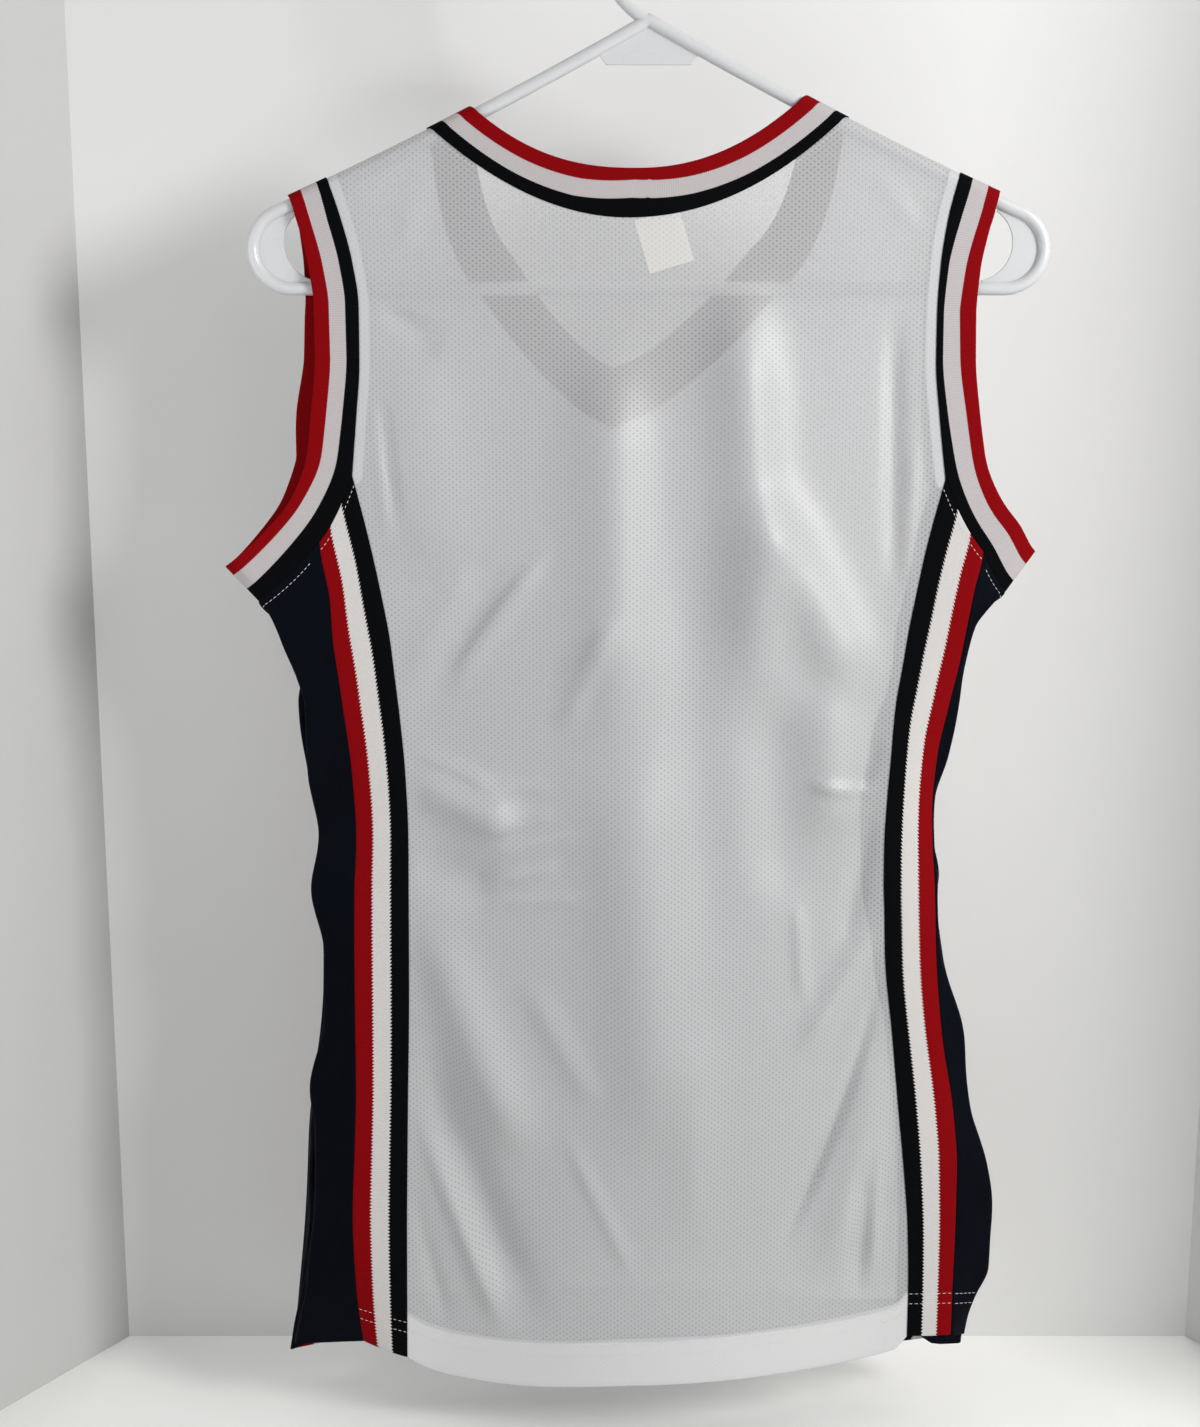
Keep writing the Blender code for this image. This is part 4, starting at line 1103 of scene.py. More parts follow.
class Kind(Enum):
    """What a shader node does: its type and, where it needs one, a setting with its value."""

    ADD = "Math operation ADD"
    SUBTRACT = "Math operation SUBTRACT"
    MULTIPLY = "Math operation MULTIPLY"
    DIVIDE = "Math operation DIVIDE"
    MINIMUM = "Math operation MINIMUM"
    MAXIMUM = "Math operation MAXIMUM"
    SINE = "Math operation SINE"
    ZIGZAG = "Math operation PINGPONG"
    ADD_VECTORS = "VectorMath operation ADD"
    SUBTRACT_VECTORS = "VectorMath operation SUBTRACT"
    MULTIPLY_VECTORS = "VectorMath operation MULTIPLY"
    DIVIDE_VECTORS = "VectorMath operation DIVIDE"
    FRACTION = "VectorMath operation FRACTION"
    LENGTH = "VectorMath operation LENGTH"
    SPLIT = "SeparateXYZ"
    RANGE = "MapRange"
    STEP_UP = "MapRange interpolation_type SMOOTHSTEP"
    MIX_COLOURS = "Mix data_type RGBA"
    MIX_SHADERS = "MixShader"
    FLAT_MAP = "UVMap uv_map flat"
    LAYERS = "Attribute attribute_name backed"
    PLACE = "TexCoord"
    SIDE = "NewGeometry"
    NOISE = "TexNoise"
    BUMP = "Bump"
    SURFACE = "BsdfPrincipled"
    TRANSLUCENT = "BsdfTranslucent"
    TRANSPARENT = "BsdfTransparent"


class Graph:
    """The node tree of one finish, built up node by node."""

    def __init__(self, name: str) -> None:
        """Start an empty material.

        Args:
            name: the material's name.
        """
        self.material = bpy.data.materials.new(name)
        self.material.use_nodes = True
        self.tree = self.material.node_tree
        self.tree.nodes.clear()

    def add(self, kind: Kind, *values: Value, out: str | None = None,
            named: dict[str, Value] | None = None) -> Socket:
        """Add a node with its setting and its links.

        Args:
            kind: what the node does.
            values: a value, or an output to link, for each input that is in use, in their order.
            out: the name of the output to give; the first one in use if there is none.
            named: values or outputs for inputs that are named.

        Returns:
            The output.
        """
        node_type, *setting = kind.value.split()
        node = self.tree.nodes.new("ShaderNode" + node_type)
        if setting:
            setattr(node, *setting)
        pairs = list(zip([socket for socket in node.inputs if socket.enabled], values))
        pairs += [(node.inputs[name], value) for name, value in (named or {}).items()]
        for socket, value in pairs:
            if isinstance(value, Socket):
                self.tree.links.new(value, socket)
            else:
                socket.default_value = value
        return node.outputs[out] if out else next(socket for socket in node.outputs if socket.enabled)

    def flat_lengths(self) -> tuple[Socket, Socket]:
        """The piece's flat coordinates across and along, from its own UV map."""
        across, along, _ = self.add(Kind.SPLIT, self.add(Kind.FLAT_MAP)).node.outputs
        return across, along

    def waves(self, length: Socket, spacing: float) -> Socket:
        """Sine of a length in metres, with a wave every so many millimetres."""
        return self.add(Kind.SINE, self.add(Kind.MULTIPLY, length, 2 * math.pi / (spacing * MM)))

    def mottle(self, scale: float, detail: float, place: Socket | None = None) -> Socket:
        """Soft noise on the piece's own place, so many patches to the metre."""
        place = place or self.add(Kind.PLACE, out="Object")
        return self.add(Kind.NOISE, named={"Vector": place, "Scale": scale, "Detail": detail})

    def shown(self, shader: Socket) -> Material:
        """Show the shader on the material, and give the material."""
        self.tree.links.new(shader, self.tree.nodes.new("ShaderNodeOutputMaterial").inputs["Surface"])
        return self.material


@dataclass(frozen=True)
class LabelPlace:
    """Where the neck label hangs: its upper left corner (x, z), its sizes and its turn."""

    corner: tuple[float, float] = (-7.9 * MM, -187.6 * MM)
    width: float = 24.6 * MM
    height: float = 29.0 * MM
    turn: float = math.radians(17)


@dataclass(frozen=True)
class PinholeMesh:
    """Polyester pinhole mesh: a warp knit with small staggered eyelets, soft and a little see-through.

    Columns of eyelets stand 1.9 mm apart, and each column's eyelets 2.85 mm, half a step off its
    neighbours: a tenth larger than real, so that they show. Light that falls through the yarn
    makes it glow a little, and each eyelet shows what lies behind. Where a seam or hem backs the
    knit, its eyelets are only dimples, and where a hem does, it is whiter, as no light is lost
    through it. Round each eyelet and dimple the yarn is painted darker, as painted shade in its
    hollow. Sizes here are in millimetres.
    """

    single: str = "#C1C2C4"
    backed: str = "#D3D4D4"
    over_satin: str = "#DAD8D3"
    # grey of the painted shade round each eyelet and dimple
    eyelet_shade: str = "#8E9398"
    greyer: str = "#C9CBCE"
    column: float = 1.9
    pitch: float = 2.85
    radius: float = 0.41
    soft_edge: float = 0.14
    dimple: float = 0.55
    dimple_shade: float = 0.19
    filled_dimple: float = 0.7
    open_hole: float = 0.6
    sheer: float = 0.25
    label_backs: float = 0.8
    label_edge: float = 0.8
    glow: float = 0.08
    label: LabelPlace = LabelPlace()

    def lattice(self, graph: Graph, place: Socket, shift: float) -> Socket:
        """Distance to the nearest eyelet of every second column.

        It is the length from the middle of a period to what the period leaves of the place.

        Args:
            graph: the finish's nodes.
            place: flat coordinates in millimetres.
            shift: how many periods these columns are moved by, both ways.

        Returns:
            The distance in millimetres.
        """
        period = (2 * self.column, self.pitch, 0.0)
        periods = graph.add(Kind.DIVIDE_VECTORS, place, period)
        turns = graph.add(Kind.ADD_VECTORS, periods, (shift, shift, 0.0))
        centred = graph.add(Kind.SUBTRACT_VECTORS, graph.add(Kind.FRACTION, turns), (0.5, 0.5, 0.5))
        return graph.add(Kind.LENGTH, graph.add(Kind.MULTIPLY_VECTORS, centred, period))

    def over_label(self, graph: Graph) -> Socket:
        """Find where the label lies behind the back panel.

        It is the smallest of the ways to the four edges of the label's turned rectangle and of
        the way to the front half of the jersey, stepped up softly.

        Args:
            graph: the finish's nodes.

        Returns:
            1 over the label, 0 elsewhere.
        """
        x, y, z = graph.add(Kind.SPLIT, graph.add(Kind.PLACE, out="Object")).node.outputs
        x = graph.add(Kind.SUBTRACT, x, self.label.corner[0])
        z = graph.add(Kind.SUBTRACT, z, self.label.corner[1])
        cosine, sine = math.cos(self.label.turn), math.sin(self.label.turn)
        across = graph.add(Kind.ADD, graph.add(Kind.MULTIPLY, x, cosine), graph.add(Kind.MULTIPLY, z, sine))
        down = graph.add(Kind.SUBTRACT, graph.add(Kind.MULTIPLY, x, sine),
                         graph.add(Kind.MULTIPLY, z, cosine))
        room = graph.add(Kind.SUBTRACT, 0.0, y)
        for value, size in ((across, self.label.width), (down, self.label.height)):
            inside = graph.add(Kind.MINIMUM, value, graph.add(Kind.SUBTRACT, size, value))
            room = graph.add(Kind.MINIMUM, room, inside)
        return graph.add(Kind.STEP_UP, room, 0.0, self.label_edge * MM)

    def make(self) -> Material:
        """Build the material.

        The backing attribute is 0.6 along a seam and 1 in the hem.

        Returns:
            The material.
        """
        graph = Graph("polyester_pinhole_mesh_white")
        place = graph.add(Kind.MULTIPLY_VECTORS, graph.add(Kind.FLAT_MAP), (1 / MM, 1 / MM, 0.0))
        distance = graph.add(Kind.MINIMUM, self.lattice(graph, place, 0.0), self.lattice(graph, place, 0.5))
        hole = graph.add(Kind.STEP_UP, distance, self.radius + self.soft_edge, self.radius - self.soft_edge)
        layers = graph.add(Kind.LAYERS, out="Fac")
        sewn, hemmed = (graph.add(Kind.STEP_UP, layers, low, low + 0.2) for low in (0.22, 0.62))
        backed = graph.add(Kind.MAXIMUM, sewn, graph.add(
            Kind.MULTIPLY, self.over_label(graph), self.label_backs))
        dimple = graph.add(
            Kind.MULTIPLY, graph.add(Kind.STEP_UP, distance, self.radius + self.dimple, self.radius),
            graph.add(Kind.SUBTRACT, 1.0, graph.add(Kind.MULTIPLY, hemmed, self.filled_dimple)))
        open_share = graph.add(Kind.MULTIPLY, graph.add(Kind.MULTIPLY, hole, self.open_hole),
                               graph.add(Kind.SUBTRACT, 1.0, backed))
        sheer = graph.add(Kind.MULTIPLY, self.sheer, graph.add(Kind.SUBTRACT, 1.0, backed))
        see_through = graph.add(Kind.MAXIMUM, open_share, sheer)
        white = graph.add(Kind.MAXIMUM, hemmed, graph.add(Kind.SUBTRACT, backed, sewn))
        whiter = graph.add(Kind.MIX_COLOURS, sewn, linear(self.over_satin), linear(self.backed))
        yarn = graph.add(Kind.MIX_COLOURS, white, linear(self.single), whiter)
        # Painted shade: round each eyelet and dimple the yarn is darkened towards a grey, as if shaded in the
        # hollow
        shaded_rim = graph.add(Kind.MIX_COLOURS, graph.add(Kind.MULTIPLY, dimple, self.dimple_shade),
                        yarn, linear(self.eyelet_shade))
        colour = graph.add(Kind.MIX_COLOURS, graph.add(Kind.MULTIPLY, graph.mottle(14.0, 3.0), 0.10),
                           shaded_rim, linear(self.greyer))
        wales = graph.waves(graph.flat_lengths()[0], self.column / 2)
        bump = graph.add(Kind.BUMP, named={"Height": wales, "Strength": 0.2, "Distance": 0.06 * MM})
        cloth = graph.add(Kind.SURFACE, named={
            "Base Color": colour, "Roughness": 0.48, "Alpha": graph.add(Kind.SUBTRACT, 1.0, see_through),
            "Normal": bump, "IOR": 1.5, "Sheen Weight": 0.2, "Sheen Roughness": 0.4,
            "Specular IOR Level": 0.8})
        through = graph.add(Kind.TRANSLUCENT, colour)
        lit = graph.add(Kind.MIX_SHADERS, see_through, through, graph.add(Kind.TRANSPARENT))
        return graph.shown(graph.add(Kind.MIX_SHADERS, self.glow, cloth, lit))


@dataclass(frozen=True)
class StripedRib:
    """Polyester rib knit in three bands, with a toothed change of yarn between them.

    Its ribs run across the band, one every 1.2 mm. The teeth come from the loops in which one
    yarn takes over from the next. Sizes here are in millimetres.
    """

    name: str
    tooth: float
    tooth_pitch: float
    white: str
    rib: float = 1.2
    stripe: float = 9.0
    blur: float = 0.012
    valley_shade: float = 0.07
    navy: str = "#020306"
    red: str = "#800107"

    def make(self) -> Material:
        """Build the material.

        Returns:
            The material.
        """
        graph = Graph(self.name)
        across, along = graph.flat_lengths()
        stripes = graph.add(Kind.MULTIPLY, across, 3.0)
        half_pitch = self.tooth_pitch / 2 * MM
        saw = graph.add(Kind.DIVIDE, graph.add(Kind.ZIGZAG, along, half_pitch), half_pitch)
        teeth = graph.add(Kind.MULTIPLY, graph.add(Kind.SUBTRACT, saw, 0.5), self.tooth / self.stripe)
        toothed = graph.add(Kind.ADD, stripes, teeth)
        to_white, to_red = (graph.add(Kind.STEP_UP, toothed, edge - self.blur, edge + self.blur)
                            for edge in (1.0, 2.0))
        first = graph.add(Kind.MIX_COLOURS, to_white, linear(self.navy), linear(self.white))
        colour = graph.add(Kind.MIX_COLOURS, to_red, first, linear(self.red))
        rib = graph.waves(along, self.rib)
        valley = graph.add(Kind.MULTIPLY, graph.add(Kind.SUBTRACT, 1.0, rib), self.valley_shade)
        shade = graph.add(Kind.MIX_COLOURS, valley, colour, (0.0, 0.0, 0.0, 1.0))
        height = graph.add(Kind.ADD, graph.add(Kind.MULTIPLY, rib, 0.5),
                           graph.add(Kind.MULTIPLY, graph.mottle(900.0, 2.0), 0.8))
        bump = graph.add(Kind.BUMP, named={"Height": height, "Strength": 0.3, "Distance": 0.2 * MM})
        return graph.shown(graph.add(Kind.SURFACE, named={
            "Base Color": shade, "Roughness": 0.78, "Normal": bump, "IOR": 1.5, "Specular IOR Level": 0.06}))


@dataclass(frozen=True)
class MixedFloatsInShade:
    """Inside of the neck's rib: the yarns float loose behind the loops and mix to a dull plum, darker as
    painted shade.
    """

    # Both plums are darker than the floats' own mix: painted shade of the jersey's inside
    dark: str = "#33121C"
    light: str = "#6B3547"
    rib: float = 1.2

    def make(self) -> Material:
        """Build the material.

        Returns:
            The material.
        """
        graph = Graph("polyester_rib_inside_plum")
        floats = graph.add(Kind.RANGE, graph.waves(graph.flat_lengths()[1], self.rib), -1.0, 1.0)
        colour = graph.add(Kind.MIX_COLOURS, floats, linear(self.dark), linear(self.light))
        return graph.shown(graph.add(Kind.SURFACE, named={
            "Base Color": colour, "Roughness": 0.85, "IOR": 1.5, "Specular IOR Level": 0.1}))


@dataclass(frozen=True)
class SmoothKnit:
    """Navy dazzle knit: a smooth, tightly knitted polyester with a faint silky sheen."""

    colour: str = "#03050C"
    paler: str = "#060913"
    wale: float = 0.9
    course: float = 0.72

    def make(self) -> Material:
        """Build the material.

        Returns:
            The material.
        """
        graph = Graph("polyester_smooth_knit_navy")
        across, along = graph.flat_lengths()
        wales, courses = graph.waves(across, self.wale), graph.waves(along, self.course)
        colour = graph.add(Kind.MIX_COLOURS, graph.mottle(30.0, 3.0), linear(self.colour), linear(self.paler))
        height = graph.add(Kind.ADD, graph.add(Kind.MULTIPLY, wales, 0.6),
                           graph.add(Kind.MULTIPLY, courses, 0.4))
        bump = graph.add(Kind.BUMP, named={"Height": height, "Strength": 0.25, "Distance": 0.12 * MM})
        return graph.shown(graph.add(Kind.SURFACE, named={
            "Base Color": colour, "Roughness": 0.62, "Normal": bump, "IOR": 1.5,
            "Specular IOR Level": 0.04}))


@dataclass(frozen=True)
class WovenSatin:
    """Blank polyester satin label: off-white, with fine threads across it and a soft shine."""

    colour: str = "#F1EEE6"
    greyer: str = "#C9C5BB"
    thread: float = 0.5

    def make(self) -> Material:
        """Build the material.

        Returns:
            The material.
        """
        graph = Graph("polyester_satin_label_white")
        threads = graph.waves(graph.flat_lengths()[1], self.thread)
        bump = graph.add(Kind.BUMP, named={"Height": threads, "Strength": 0.2, "Distance": 0.08 * MM})
        shade = graph.add(Kind.MIX_COLOURS, graph.add(Kind.MULTIPLY, threads, 0.04),
                          linear(self.colour), linear(self.greyer))
        return graph.shown(graph.add(Kind.SURFACE, named={
            "Base Color": shade, "Roughness": 0.42, "Normal": bump, "IOR": 1.5, "Sheen Weight": 0.2,
            "Specular IOR Level": 0.5}))


@dataclass(frozen=True)
class SpunThread:
    """Spun polyester sewing thread, twisted every 0.9 mm."""

    colour: str = "#DAD7D4"
    darker: str = "#8F8C8A"
    twist: float = 0.9

    def make(self) -> Material:
        """Build the material.

        Returns:
            The material.
        """
        graph = Graph("polyester_sewing_thread_white")
        twist = graph.waves(graph.flat_lengths()[1], self.twist)
        shade = graph.add(Kind.MIX_COLOURS, graph.add(Kind.MULTIPLY, twist, 0.12),
                          linear(self.colour), linear(self.darker))
        bump = graph.add(Kind.BUMP, named={"Height": twist, "Strength": 0.4, "Distance": 0.05 * MM})
        return graph.shown(graph.add(Kind.SURFACE, named={
            "Base Color": shade, "Roughness": 0.6, "Normal": bump, "Sheen Weight": 0.3}))


@dataclass(frozen=True)
class MouldedPolystyrene:
    """Injection-moulded white polystyrene: glossy, with a faint orange peel from the mould."""

    colour: str = "#C8CACC"
    greyer: str = "#B9BCC0"
    smoothest: float = 0.22
    roughest: float = 0.36
    scatter: float = 0.6 * MM

    def make(self) -> Material:
        """Build the material.

        Returns:
            The material.
        """
        graph = Graph("moulded_polystyrene_white")
        place = graph.add(Kind.PLACE, out="Object")
        peel, cloud = graph.mottle(260.0, 2.0, place), graph.mottle(22.0, 2.0, place)
        bump = graph.add(Kind.BUMP, named={"Height": peel, "Strength": 0.12, "Distance": 0.1 * MM})
        colour = graph.add(Kind.MIX_COLOURS, graph.add(Kind.MULTIPLY, cloud, 0.12),
                           linear(self.colour), linear(self.greyer))
        rough = graph.add(Kind.RANGE, cloud, 0.0, 1.0, self.smoothest, self.roughest)
        return graph.shown(graph.add(Kind.SURFACE, named={
            "Base Color": colour, "Roughness": rough, "Normal": bump, "IOR": 1.59,
            "Subsurface Weight": 0.1, "Subsurface Radius": (self.scatter, self.scatter, self.scatter)}))


@dataclass(frozen=True)
class PaintedBoard:
    """Matt white board of the floor and backdrop, with the faintest mottle.

    Only its front is painted; its back lets the eye through, so the jersey can be seen from behind.
    """

    name: str
    colour: str
    greyer: str = "#B8B6B2"

    def make(self) -> Material:
        """Build the material.

        Returns:
            The material.
        """
        graph = Graph(self.name)
        colour = graph.add(Kind.MIX_COLOURS, graph.add(Kind.MULTIPLY, graph.mottle(40.0, 4.0), 0.05),
                           linear(self.colour), linear(self.greyer))
        board = graph.add(Kind.SURFACE, named={"Base Color": colour, "Roughness": 0.85})
        behind = graph.add(Kind.SIDE, out="Backfacing")
        return graph.shown(graph.add(Kind.MIX_SHADERS, behind, board, graph.add(Kind.TRANSPARENT)))


# ---------------- mesh panels

@dataclass(frozen=True)
class MeshPanel:
    """A mesh panel with its two straps and its turned-up hem."""

    face: Face
    node: str
    cut: tuple[float, float, float]
    half_columns: int = 62
    beside: int = 170
    below: int = 16
    above: int = 30
    hem_edge: float = 4 * MM
    hem_roll: float = 0.55 * MM
    backed_width: float = 5.5 * MM
    backed_share: float = 0.6

    def rows(self) -> Array:
        """Places up the panel, 0 at the hem and 2 at the straps' start."""
        return np.concatenate([np.linspace(0, 1, self.beside + 1), np.linspace(1, 2, self.below + 1)[1:]])

    def straps(self) -> list[Array]:
        """Lay out the straps.

        Returns:
            Flat grids of the left and right strap.
        """
        up = np.linspace(0, 1, self.above + 1)
        shares = np.linspace(0, 1, self.half_columns + 1)
        level = np.concatenate([ease(up), np.ones(len(OVER_ARM))])
        grids = []
        for side in FORM.sides:
            outer = FORM.strap_points(side, self.face, up, OVER_ARM)
            inner = FORM.neck_points(self.face, NeckLine.SEAM, side, up, OVER_ARM)
            first, second = (outer, inner) if side is LEFT else (inner, outer)
            grids.append(FORM.across_strap(first, second, shares, level))
        return grids

    def backing(self, flat: Array, edges: Array) -> Array:
        """Find where a seam backs the knit: a soft step in the distance to the seams.

        Args:
            flat: flat points of the panel or of a strap.
            edges: flat points along the seams, compared 60 or so at a time.

        Returns:
            0.6 along the seams, 0 elsewhere.
        """
        points = flat.reshape(-1, 2)
        nearest = np.full(len(points), 1.0)
        for part in np.array_split(edges, max(1, len(edges) // 60)):
            gap = np.linalg.norm(points[:, None] - part[None], axis=-1).min(axis=1)
            nearest = np.minimum(nearest, gap)
        return self.backed_share * ease(1.5 - nearest / self.backed_width).reshape(flat.shape[:2])

    def turned_hem(self, body: Array, flat: Array) -> tuple[Array, Array, Array]:
        """Rows of the hem's inner layer, from its raw edge down, and the roll below the hem.

        The inner layer is the outer one moved in by twice the roll's radius, and the roll is a
        half circle between the two.

        Args:
            body: the placed outer rows, from the hem up.
            flat: their flat points.

        Returns:
            Points, flat coordinates and backing of the rows that go before the outer ones.
        """
        middle = body.shape[1] // 2
        count = int(np.searchsorted(body[:, middle, 2] - body[0, middle, 2], HEM_BAND))
        normals = grid_normals(body[:count + 2])
        inward = normals * np.where(normals[..., 1:2] * int(self.face) > 0, -1, 1)
        roll = self.hem_roll
        inner = (body[:count + 2] + inward * 2 * roll)[count::-1]
        down = unit(body[0] - body[1])
        turns = [body[0] + inward[0] * roll * (1 + math.cos(a)) + down * roll * math.sin(a)
                 for a in np.linspace(0, math.pi, 6)[1:-1]]
        points = np.concatenate([inner, np.stack(turns)])
        mirrored = 2 * flat[:1] - flat[count::-1]
        mirrored[..., 0] = flat[count::-1, :, 0]
        uv = np.concatenate([mirrored, np.repeat(flat[:1], len(turns), axis=0)])
        return points, uv, np.zeros(points.shape[:2])

    def build(self, material: Material) -> Object:
        """Build the panel and dress it.

        Args:
            material: its finish.

        Returns:
            The panel.
        """
        flat = FORM.body_points(self.face, self.rows(), self.half_columns)
        straps = self.straps()
        ups = np.linspace(1, 2, 60)
        edges = np.concatenate([FORM.edge_points(side, self.face, ups) for side in FORM.sides]
                               + [straps[0][:, 0], straps[1][:, -1]])
        body = FORM.place(flat, self.face)
        points, uv, backed = self.turned_hem(body, flat)
        rise = flat[..., 1] - flat[:1, :, 1]
        hem_backed = np.clip(0.5 + (HEM_BAND - rise) / self.hem_edge, 0, 1)
        outer = np.maximum(self.backing(flat, edges), hem_backed)
        patches = [Patch(np.concatenate([points, body]), np.concatenate([uv, flat]),
                         np.concatenate([backed, outer]))]
        patches += [Patch(FORM.place(strap, self.face), strap, self.backing(strap, edges))
                    for strap in straps]
        piece = make_piece(self.node + "_mesh", patches, (0, int(self.face), 0))
        carry(piece, material, "mesh_white", self.node)
        return piece


# ---------------- striped trims and tapes

@dataclass(frozen=True)
class StripedBand:
    """A band of striped rib: a side tape, or a ring of trim round an opening."""

    node: str
    cut: tuple[float, float]
    columns: int = 4
    wall: float = 1.3 * MM
    rounding: float = 0.35 * MM

    def build(self, points: Array, ring: bool, material: Material, slot: str,
              inside: Material | None = None) -> Object:
        """Build the band on its surface and dress it.

        Its flat coordinates run from 0 to 1 across its three stripes, and in metres along it.

        Args:
            points: the grid of the band's middle surface.
            ring: whether its ends join.
            material: the finish of the band.
            slot: not used; it is only passed on to carry.
            inside: another finish for the wall's inner side.

        Returns:
            The band.
        """
        line = points[:, points.shape[1] // 2]
        along = lengths_along(np.concatenate([line, line[:1]]) if ring else line)
        patch = Patch(points, grid_of(np.linspace(0, 1, points.shape[1]), along))
        piece = make_piece(self.node + "_rib", [patch], (0, points[0, 0, 1], 0))
        give_wall(piece, self.wall, self.rounding)
        carry(piece, material, slot, self.node)
        if inside:
            piece.data.materials.append(inside)
            piece.modifiers["wall"].material_offset = 1
        return piece


# ---------------- side panels and label

@dataclass(frozen=True)
class SidePanel:
    """A smooth navy side panel, pleated between the tapes."""

    side: Side
    rows: int = 240
    wall: float = 0.9 * MM
    rounding: float = 0.25 * MM
    ripple_height: float = 0.9 * MM
    cut: tuple[float, float, float] = (0.122, 0.47, 0.043)

    def ripple(self, points: Array) -> Array:
        """Add soft ripples: three slow waves up the panel that lean across it.

        Args:
            points: the panel's grid.

        Returns:
            The grid, moved in and out of its surface.
        """
        rows, columns = points.shape[:2]
        r, c = np.meshgrid(np.linspace(0, 1, rows), np.linspace(0, 1, columns), indexing="ij")
        wave = (np.sin(2 * math.pi * (3.1 * r + 1.6 * c + 0.1))
                + 0.7 * np.sin(2 * math.pi * (5.3 * r - 2.2 * c))
                + 0.5 * np.sin(2 * math.pi * (8.7 * r + 3.1 * c + 0.4)))
        fade = np.sin(math.pi * c) ** 0.7 * ease((1 - r) * 9) * ease(r * 12)
        return points + grid_normals(points) * (self.ripple_height * wave * fade)[..., None]

    def build(self, material: Material) -> Object:
        """Build the panel and dress it.

        Args:
            material: its finish.

        Returns:
            The panel.
        """
        points = self.ripple(FORM.side_points(self.side, np.linspace(0, 1, self.rows + 1)))
        uv = grid_of(lengths_along(points[self.rows // 2]), lengths_along(points[:, 0]))
        node = "side_panel_" + self.side.name
        piece = make_piece(node + "_knit", [Patch(points, uv)], (0, -1, 0))
        give_wall(piece, self.wall, self.rounding)
        carry(piece, material, "knit_navy", node)
        return piece


@dataclass(frozen=True)
class Label:
    """A small blank label, sewn under the middle of the back neck, turned and a little curled."""

    place: LabelPlace = LabelPlace()
    gap: float = 1.3 * MM
    curl: float = 0.5 * MM
    wall: float = 0.4 * MM
    points_a_side: int = 27

    def build(self, material: Material) -> Object:
        """Build the label and dress it.

        Args:
            material: its finish.

        Returns:
            The label.
        """
        width, height, turn = self.place.width, self.place.height, self.place.turn
        down, across = np.meshgrid(np.linspace(0, height, self.points_a_side),
                                   np.linspace(0, width, self.points_a_side), indexing="ij")
        x = self.place.corner[0] + across * math.cos(turn) + down * math.sin(turn)
        z = self.place.corner[1] + across * math.sin(turn) - down * math.cos(turn)
        curl = self.curl * (down / height) ** 2 * np.cos(across / width * 3)
        points = ARM.lay(x, z, FORM.away(x, z, Face.BACK) - self.gap - curl, Face.BACK)
        uv = np.stack([across, down], axis=-1)
        piece = make_piece("neck_label_satin", [Patch(points, uv)], (0, -1, 0))
        give_wall(piece, self.wall)
        carry(piece, material, "label_white", "neck_label")
        return piece


# ---------------- sewing

@dataclass(frozen=True)
class StitchLine:
    """A run of straight stitches along a line on a surface."""

    points: Array
    normals: Array
    pitch: float = 2.7 * MM
    share: float = 0.78
    radius: float = 0.16 * MM
    lift: float = 0.75 * MM

    def stitches(self) -> tuple[Array, Array]:
        """Work out capsules in a row.

        Along a stitch its radius follows half of a sine to the power 0.35, round a circle that
        sinks at both ends into the cloth.

        Returns:
            Points, with axes for the stitch, along it and round it, and their flat coordinates.
        """
        along = lengths_along(self.points)
        length = along[-1]
        count = max(1, int(length / self.pitch))
        starts = (np.arange(count) + 0.5 * (1 - self.share)) * length / count
        t = np.linspace(0, 1, 7)
        places = starts[:, None] + t[None] * self.share * length / count
        centre, normal = (np.stack([np.interp(places, along, line[:, k]) for k in range(3)], axis=-1)
                          for line in (self.points, self.normals))
        normal = unit(normal)
        width = np.cross(unit(np.gradient(centre, axis=1)), normal)
        angles = np.linspace(0, 2 * math.pi, 7)
        swell = self.radius * np.clip(np.sin(math.pi * t), 0.02, 1) ** 0.35
        sink = self.lift - 2.2 * self.radius * (2 * t - 1) ** 4
        ring = np.cos(angles)[:, None] * width[..., None, :] + np.sin(angles)[:, None] * normal[..., None, :]
        points = (centre + normal * sink[:, None])[..., None, :] + ring * swell[:, None, None]
        around = (angles * self.radius)[None, None]
        return points, np.stack(np.broadcast_arrays(around, places[..., None]), axis=-1)


def sew(name: str, lines: list[StitchLine], material: Material) -> Object:
    """Make one piece of several runs of stitches, each stitch a small closed grid of its own.

    Args:
        name: the piece's name.
        lines: the runs.
        material: the thread.

    Returns:
        The piece.
    """
    verts, faces, flats = [], [], []
    count = 0
    for line in lines:
        points, uv = line.stitches()
        stitches, rows, columns = points.shape[:3]
        offsets = count + np.arange(stitches)[:, None, None] * rows * columns
        faces.append((grid_quads(rows, columns)[None] + offsets).reshape(-1, 4))
        verts.append(points.reshape(-1, 3))
        flats.append(uv.reshape(-1, 2))
        count += len(verts[-1])
    corners = np.concatenate(faces)
    mesh = flat_mesh(name, np.concatenate(verts), corners, np.concatenate(flats), corners)
    weld(mesh, 0.002 * MM, turn_outwards=True)
    mesh.shade_smooth()
    piece = place_in_scene(name, mesh)
    carry(piece, material, "mesh_white")
    return piece


def line_on(grid: Array, row: Array, face: Face) -> tuple[Array, Array]:
    """A line through a grid at a fractional row for each column, with outward normals.

    Args:
        grid: placed points.
        row: the row at each column.
        face: the side of the garment that is outward.

    Returns:
        The line's points and normals.
    """
    normals = grid_normals(grid)
    normals = normals * np.where(normals[..., 1:2] * int(face) < 0, -1, 1)
    k = np.clip(row.astype(int), 0, len(grid) - 2)
    t, column = (row - k)[:, None], np.arange(grid.shape[1])
    return tuple(values[k, column] * (1 - t) + values[k + 1, column] * t for values in (grid, normals))


